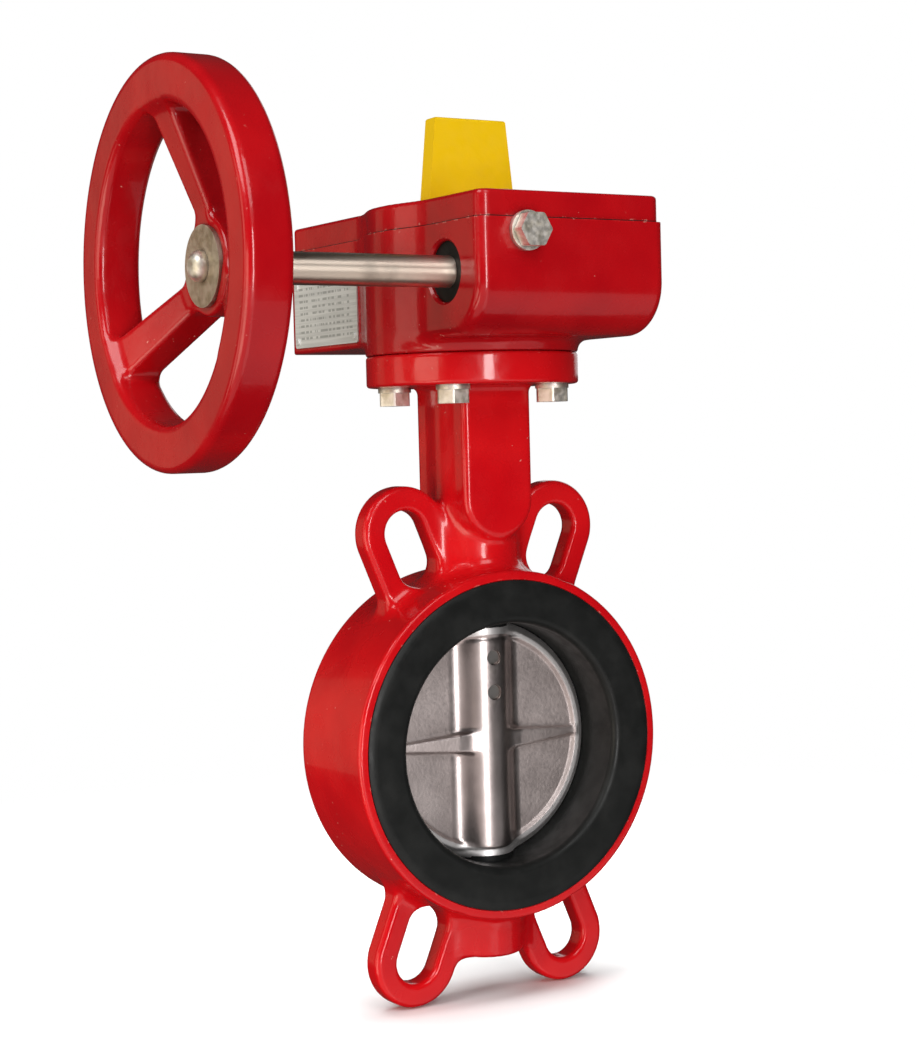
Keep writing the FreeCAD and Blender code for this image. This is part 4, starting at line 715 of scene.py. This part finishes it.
def make_case():
    piece = cast_node("gearbox_housing", case_field, STEP)
    shaft = (0, SHAFT_Y, SHAFT_Z)
    far = 60.0
    reach = FLANGE_PCD / 2 * math.sqrt(0.5)
    left = lathe("port", [
        (-far, PORT_R + PORT_CHAMFER), (CASE_X[0] - 0.01, PORT_R + PORT_CHAMFER),
        (CASE_X[0] + PORT_CHAMFER, PORT_R), (PORT_STEP_X, PORT_R),
        (PORT_STEP_X, BUSH_R), (-WORM_ROOM_X + 2, BUSH_R),
    ], "X", shaft, 128)
    cutters = [
        cuboid("seam", (-far, -90, SEAM_Z), (far, 120, SEAM_Z + 20)),
        cuboid("base", (-far, -60, CASE_BASE_Z - OVERRUN), (far, 60, CASE_BASE_Z)),
        left,
        hole(PORT_R, WORM_ROOM_X - 2, far, "X", shaft),
        hole(STOP_R, -90, SHAFT_Y, "Y", (-STOP_OFFSET, 0, STOP_Z), 48),
        hole(STOP_R, 25, far, "X", (0, STOP_OFFSET, STOP_Z), 48),
        hole(GLAND_R, REAR_Y[1] - WALL - 2, REAR_Y[1] + OVERRUN, "Y", (0, 0, GLAND_Z)),
        hole(WHEEL_SEAT_R, CASE_BASE_Z - OVERRUN, GEAR_FLOOR_Z + 2, "Z", (0, 0, 0)),
    ]
    for px, py in COVER_SCREWS:
        cutters.append(hole(COVER_TAP_R, SEAM_Z - COVER_TAP_DEPTH, SEAM_Z + OVERRUN, "Z", (px, py, 0), 32))
    for side_x, side_y in itertools.product((-1, 1), repeat=2):
        at = (side_x * reach, side_y * reach, 0)
        cutters.append(hole(FLANGE_BOLT_R, CASE_BASE_Z - OVERRUN, FLANGE_BOLT_TOP_Z, "Z", at, 32))
    finish_casting(piece, cutters, "gearbox_housing", "valve_frame", "gear_enamel")


def cover_field(x, y, z):
    under = COVER_Z[0] - 6
    plan = case_plan(x, y, COVER_INSET)
    plate = thick(plan, z - (under + COVER_Z[1]) / 2, (COVER_Z[1] - under) / 2, COVER_EDGE)
    plate = np.maximum(plate, COVER_Z[0] - CUT_STOCK - z)
    room = np.maximum(case_plan(x, y, COVER_INSET + COVER_WALL), z - COVER_Z[1] + COVER_ROOF)
    room = np.maximum(room, -posts(x, y, COVER_SCREWS, POST_R + 1))
    return carve(plate, room, 0.8)


def make_cover():
    piece = cast_node("gearbox_cover", cover_field, STEP)
    head_z = COVER_Z[1] - COVER_HEAD_DEPTH
    cutters = [
        cuboid("seam", (-60, -90, COVER_Z[0] - 20), (60, 120, COVER_Z[0])),
        hole(SPINDLE_HOLE_R, COVER_Z[0] - OVERRUN, COVER_Z[1] + OVERRUN, "Z", (0, 0, 0)),
    ]
    for px, py in COVER_SCREWS:
        cutters.append(lathe("counterbore", [
            (COVER_Z[0] - OVERRUN, COVER_SHANK_R), (head_z, COVER_SHANK_R),
            (head_z, COVER_HEAD_R), (COVER_Z[1] + OVERRUN, COVER_HEAD_R),
        ], "Z", (px, py, 0), 48))
    finish_casting(piece, cutters, "gearbox_cover", "valve_frame", "gear_enamel")


# ------------------------------------------------------------------- handwheel

RIM_X, RIM_R, RIM_ROUND = (-164.4, -145.6), (60.0, 77.9), 3.4
WHEEL_HUB_R, WHEEL_HUB_X = 19.0, (-144.5, -119.0)
SPOKE_ANGLES = (87.0, 207.0, 327.0)
SPOKE_ROOT_R, SPOKE_TIP_R = 10.0, 64.0
SPOKE_FRONT_STEP = (3.2, 2.2)           # behind the hub's face, then behind the rim's
SPOKE_BACK_STEP = (19, 1.5)             # behind the hub's face, then before the rim's back
SPOKE_HALF_WIDTH, SPOKE_EDGE, WHEEL_FILLET = (6.2, 8.8), 2.2, 5.0
SHAFT_R = 6.5


def between(share, pair):
    return pair[0] + share * (pair[1] - pair[0])


def wheel_field(x, y, z):
    v, w = y - SHAFT_Y, z - SHAFT_Z
    radius = np.hypot(v, w)
    rim_mid, rim_half = sum(RIM_X) / 2, (RIM_X[1] - RIM_X[0]) / 2
    ring_mid, ring_half = sum(RIM_R) / 2, (RIM_R[1] - RIM_R[0]) / 2
    rim = rectangle(x - rim_mid, radius - ring_mid, rim_half, ring_half, RIM_ROUND)
    hub_mid, hub_half = sum(WHEEL_HUB_X) / 2, (WHEEL_HUB_X[1] - WHEEL_HUB_X[0]) / 2
    wheel = thick(radius - WHEEL_HUB_R, x - hub_mid, hub_half, 1.6)
    for degrees in SPOKE_ANGLES:
        turn = math.radians(degrees)
        along = v * math.cos(turn) + w * math.sin(turn)
        across = w * math.cos(turn) - v * math.sin(turn)
        share = np.clip((along - SPOKE_ROOT_R) / (SPOKE_TIP_R - SPOKE_ROOT_R), 0, 1)
        front = between(share, (WHEEL_HUB_X[0] + SPOKE_FRONT_STEP[0], RIM_X[0] + SPOKE_FRONT_STEP[1]))
        back = between(share, (WHEEL_HUB_X[0] + SPOKE_BACK_STEP[0], RIM_X[1] - SPOKE_BACK_STEP[1]))
        half_width = between(share, SPOKE_HALF_WIDTH)
        bar = rectangle(x - (front + back) / 2, across, (back - front) / 2, half_width, SPOKE_EDGE)
        spoke = np.maximum(np.maximum(bar, -along), along - SPOKE_TIP_R - 3)
        wheel = blend(wheel, spoke, WHEEL_FILLET)
    return np.maximum(blend(wheel, rim, WHEEL_FILLET), RIM_X[0] - x)


def make_handwheel():
    piece = cast_node("handwheel", wheel_field, STEP)
    shaft = (0, SHAFT_Y, SHAFT_Z)
    key = [(corner / MM) for corner in map(Vector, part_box("wheel_key"))]
    slack = Vector((0.05, 0.05, 0.05))
    cutters = [
        hole(SHAFT_R + 0.05, WHEEL_HUB_X[0] - OVERRUN, WHEEL_HUB_X[1] + OVERRUN, "X", shaft),
        cuboid("keyway", key[0] - slack, key[1] + slack),
    ]
    finish_casting(piece, cutters, "handwheel", "drive", "gear_enamel")


# ------------------------------------------------------------------------ disc

DISC_R = 51.7
PLATE_HALF, RIM_HALF, EDGE_HALF = 3.2, 4.6, 1.8
RIM_STATIONS = (44.8, 46.4, 48.6, 51.67)
HUB_R, HUB_END_Z, HUB_FILLET = 12.2, 49.3, 5.6
HUB_GROOVE_Z, HUB_GROOVE_DEPTH = (44.9, -47.0), 0.45
GROOVE_END_R, GROOVE_FADE, GROOVE_SPREAD = 20.0, 4.0, 0.9
RIB_START_X = 9
RIB_HALF_HEIGHT, RIB_HALF_WIDTH = (9.0, 4.5), (4.2, 1.3)   # at the hub, then at the rim
RIB_EDGE, RIB_FILLET = 0.8, 2.4
STEM_HOLE_R = 8.05
PIN_Z, PIN_END_Y = (36.4, 21.4), 10.8
PIN_HOLE_R, PIN_RECESS_R = (3.15, 2.75), (3.4, 3.0)        # front, then back


def disc_field(x, y, z):
    radius = np.hypot(x, z)
    half = np.interp(radius, RIM_STATIONS, (PLATE_HALF, RIM_HALF, RIM_HALF, EDGE_HALF))
    plate = np.maximum(np.abs(y) - half, radius - DISC_R)
    hub = np.maximum(np.hypot(x, y) - HUB_R, np.abs(z) - DISC_R)
    disc = blend(plate, hub, HUB_FILLET)
    share = np.clip((np.abs(x) - RIB_START_X) / (RIM_STATIONS[1] - RIB_START_X), 0, 1)
    rib = rectangle(y, z, between(share, RIB_HALF_HEIGHT), between(share, RIB_HALF_WIDTH), RIB_EDGE)
    disc = blend(disc, np.maximum(rib, np.abs(x) - RIM_STATIONS[1]), RIB_FILLET)
    groove = np.minimum(np.abs(z - HUB_GROOVE_Z[0]), np.abs(z - HUB_GROOVE_Z[1]))
    reach = np.clip((GROOVE_END_R - np.hypot(x, y)) / GROOVE_FADE, 0, 1)
    disc = disc + HUB_GROOVE_DEPTH * reach * np.exp(-groove * groove / GROOVE_SPREAD)
    return np.maximum(disc, np.sqrt(radius * radius + y * y) - DISC_R)


def make_disc():
    piece = cast_node("disc", disc_field, FINE_STEP)
    cutters = [hole(STEM_HOLE_R, -60, 60, "Z", (0, 0, 0), 128)]
    for side in (-1, 1):
        ends = sorted((side * HUB_END_Z, side * 60))
        cutters.append(hole(HUB_R + 0.2, ends[0], ends[1], "Z", (0, 0, 0), 128))
    for z in PIN_Z:
        cutters.append(lathe("pin_hole", [
            (-20, PIN_RECESS_R[0]), (-PIN_END_Y, PIN_RECESS_R[0]), (-PIN_END_Y, PIN_HOLE_R[0]),
            (PIN_END_Y, PIN_HOLE_R[1]), (PIN_END_Y, PIN_RECESS_R[1]), (20, PIN_RECESS_R[1]),
        ], "Y", (0, 0, z), 48))
    finish_casting(piece, cutters, "disc", "closure", "stainless")


# ------------------------------------------------------- CAD nodes that stay

NODE_FINISH = {
    "stem": "stem_steel",
    "taper_pins": "stem_steel",
    "wheel_washer": "wheel_washer_steel",
    "gearbox_housing": "gear_enamel",
    "gearbox_cover": "gear_enamel",
    "handwheel": "gear_enamel",
}


def dress_nodes():
    for name, node in frame["nodes"].items():
        dress(node, NODE_FINISH.get(name, frame_slot[name]))


# --------------------------------------------------------- stage, lights, camera

TARGET = Vector((-0.03, 0.0, 0.08))
FLOOR_SIDES, FLOOR_GAP = 96, 0.0005
FLOOR_FADE = (0.30, 0.62)               # radii where the paper starts to fade, and ends
PAPER_POWER = 60
LIGHTING_GREY = 0.03                    # strength of the studio's own light on the valve
CAMERA_PLACE = (-0.4706, -0.7620, 0.1324)
CAMERA_TURN = (-31.24, -2.53, -1.50)    # yaw, pitch and roll, degrees
LENS, SENSOR_WIDTH = 70.53, 36.0

# name, direction from the valve, distance, size, power, colour
LIGHTS = [
    ("front_strip", (-0.2215, -0.975, 0.03), 1.9, (0.34, 1.0), 17, (1, 1, 1)),
    ("left_bank", (-0.97, -0.15, -0.20), 1.7, (0.9, 1.2), 10.5, (1.0, 0.90, 0.72)),
    ("high_left", (-0.72, -0.20, 0.66), 1.8, (0.9, 0.9), 15, (1, 1, 1)),
    ("high_front", (-0.10, -0.76, 0.64), 1.8, (0.8, 0.8), 9, (1, 1, 1)),
    ("table_left", (-0.50, -0.62, -0.60), 1.5, (2.6, 1.8), 10, (1.0, 0.88, 0.84)),
    ("table_right", (0.35, -0.70, -0.62), 1.5, (1.6, 1.2), 3, (1, 1, 1)),
    ("rear_strip_a", (-0.925, 0.379, 0.05), 1.7, (0.66, 1.2), 3.4, (1.0, 0.90, 0.72)),
    ("rear_strip_b", (-0.53, 0.85, 0.05), 1.8, (0.45, 1.2), 0.6, (1.0, 0.86, 0.60)),
    ("rear_right", (0.75, 0.65, 0.35), 1.8, (1.0, 1.0), 3, (1, 1, 1)),
]


def stage():
    """White paper that fades out into the studio. The table lights stand in for its bounce."""
    mesh = bpy.data.meshes.new("floor")
    angles = [2 * math.pi * i / FLOOR_SIDES for i in range(FLOOR_SIDES)]
    ring = [(FLOOR_FADE[1] * math.cos(a), FLOOR_FADE[1] * math.sin(a), 0) for a in angles]
    mesh.from_pydata(ring, [], [tuple(range(FLOOR_SIDES))])
    floor = bpy.data.objects.new("floor", mesh)
    floor.location.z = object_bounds()[0].z - FLOOR_GAP
    collection = bpy.data.collections.new("stage")
    bpy.context.scene.collection.children.link(collection)
    collection.objects.link(floor)
    f = Finish("floor_paper", Roughness=0.9, Specular_IOR_Level=0.1)
    f.colour(f.mix(f.noise(300, 2), (0.90, 0.90, 0.90), (0.93, 0.93, 0.93)))
    f.plug(f.shader.inputs["Alpha"], f.fade(f.radius(("X", "Y")), *FLOOR_FADE, 1.0, 0.0))
    mesh.materials.append(f.material)
    floor.visible_diffuse = False
    floor.visible_glossy = False
    floor.visible_shadow = False
    floor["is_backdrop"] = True


def softbox(name, direction, distance, size, power, colour):
    light = bpy.data.lights.new(name, "AREA")
    light.shape = "RECTANGLE"
    light.size, light.size_y = size
    light.energy = power
    light.color = colour
    lamp = bpy.data.objects.new(name, light)
    toward = Vector(direction).normalized()
    lamp.location = TARGET + toward * distance
    lamp.visible_camera = False
    lamp.rotation_euler = toward.to_track_quat("Z", "Y").to_euler()
    bpy.context.scene.collection.objects.link(lamp)
    return lamp


def lights():
    """Strips at eye level make the highlights, high and low banks light the faces."""
    for row in LIGHTS:
        softbox(*row)
    paper = softbox("paper_light", (0.0, 0.05, 1.0), 1.6, (1.6, 1.6), PAPER_POWER, (1, 1, 1))
    paper.light_linking.receiver_collection = bpy.data.collections["stage"]
    world = bpy.data.worlds.new("studio")
    world.use_nodes = True
    nodes, links = world.node_tree.nodes, world.node_tree.links
    dim = nodes["Background"]
    dim.inputs["Color"].default_value = (1, 1, 1, 1)
    dim.inputs["Strength"].default_value = LIGHTING_GREY
    seen = nodes.new("ShaderNodeBackground")
    seen.inputs["Color"].default_value = (1, 1, 1, 1)
    path = nodes.new("ShaderNodeLightPath")
    mix = nodes.new("ShaderNodeMixShader")
    links.new(path.outputs["Is Camera Ray"], mix.inputs[0])
    links.new(dim.outputs[0], mix.inputs[1])
    links.new(seen.outputs[0], mix.inputs[2])
    links.new(mix.outputs[0], nodes["World Output"].inputs["Surface"])
    bpy.context.scene.world = world


def camera():
    data = bpy.data.cameras.new("camera")
    data.lens = LENS
    data.sensor_width = SENSOR_WIDTH
    shot = bpy.data.objects.new("camera", data)
    yaw, pitch, roll = (math.radians(angle) for angle in CAMERA_TURN)
    level = Matrix.Rotation(yaw, 4, "Z") @ Matrix.Rotation(math.pi / 2 + pitch, 4, "X")
    turn = level @ Matrix.Rotation(roll, 4, "Z")
    shot.matrix_world = Matrix.Translation(CAMERA_PLACE) @ turn
    bpy.context.scene.collection.objects.link(shot)
    bpy.context.scene.camera = shot


dress_nodes()
make_body()
make_case()
make_cover()
make_handwheel()
make_disc()
stage()
lights()
camera()
bpy.context.scene.view_settings.view_transform = "Standard"
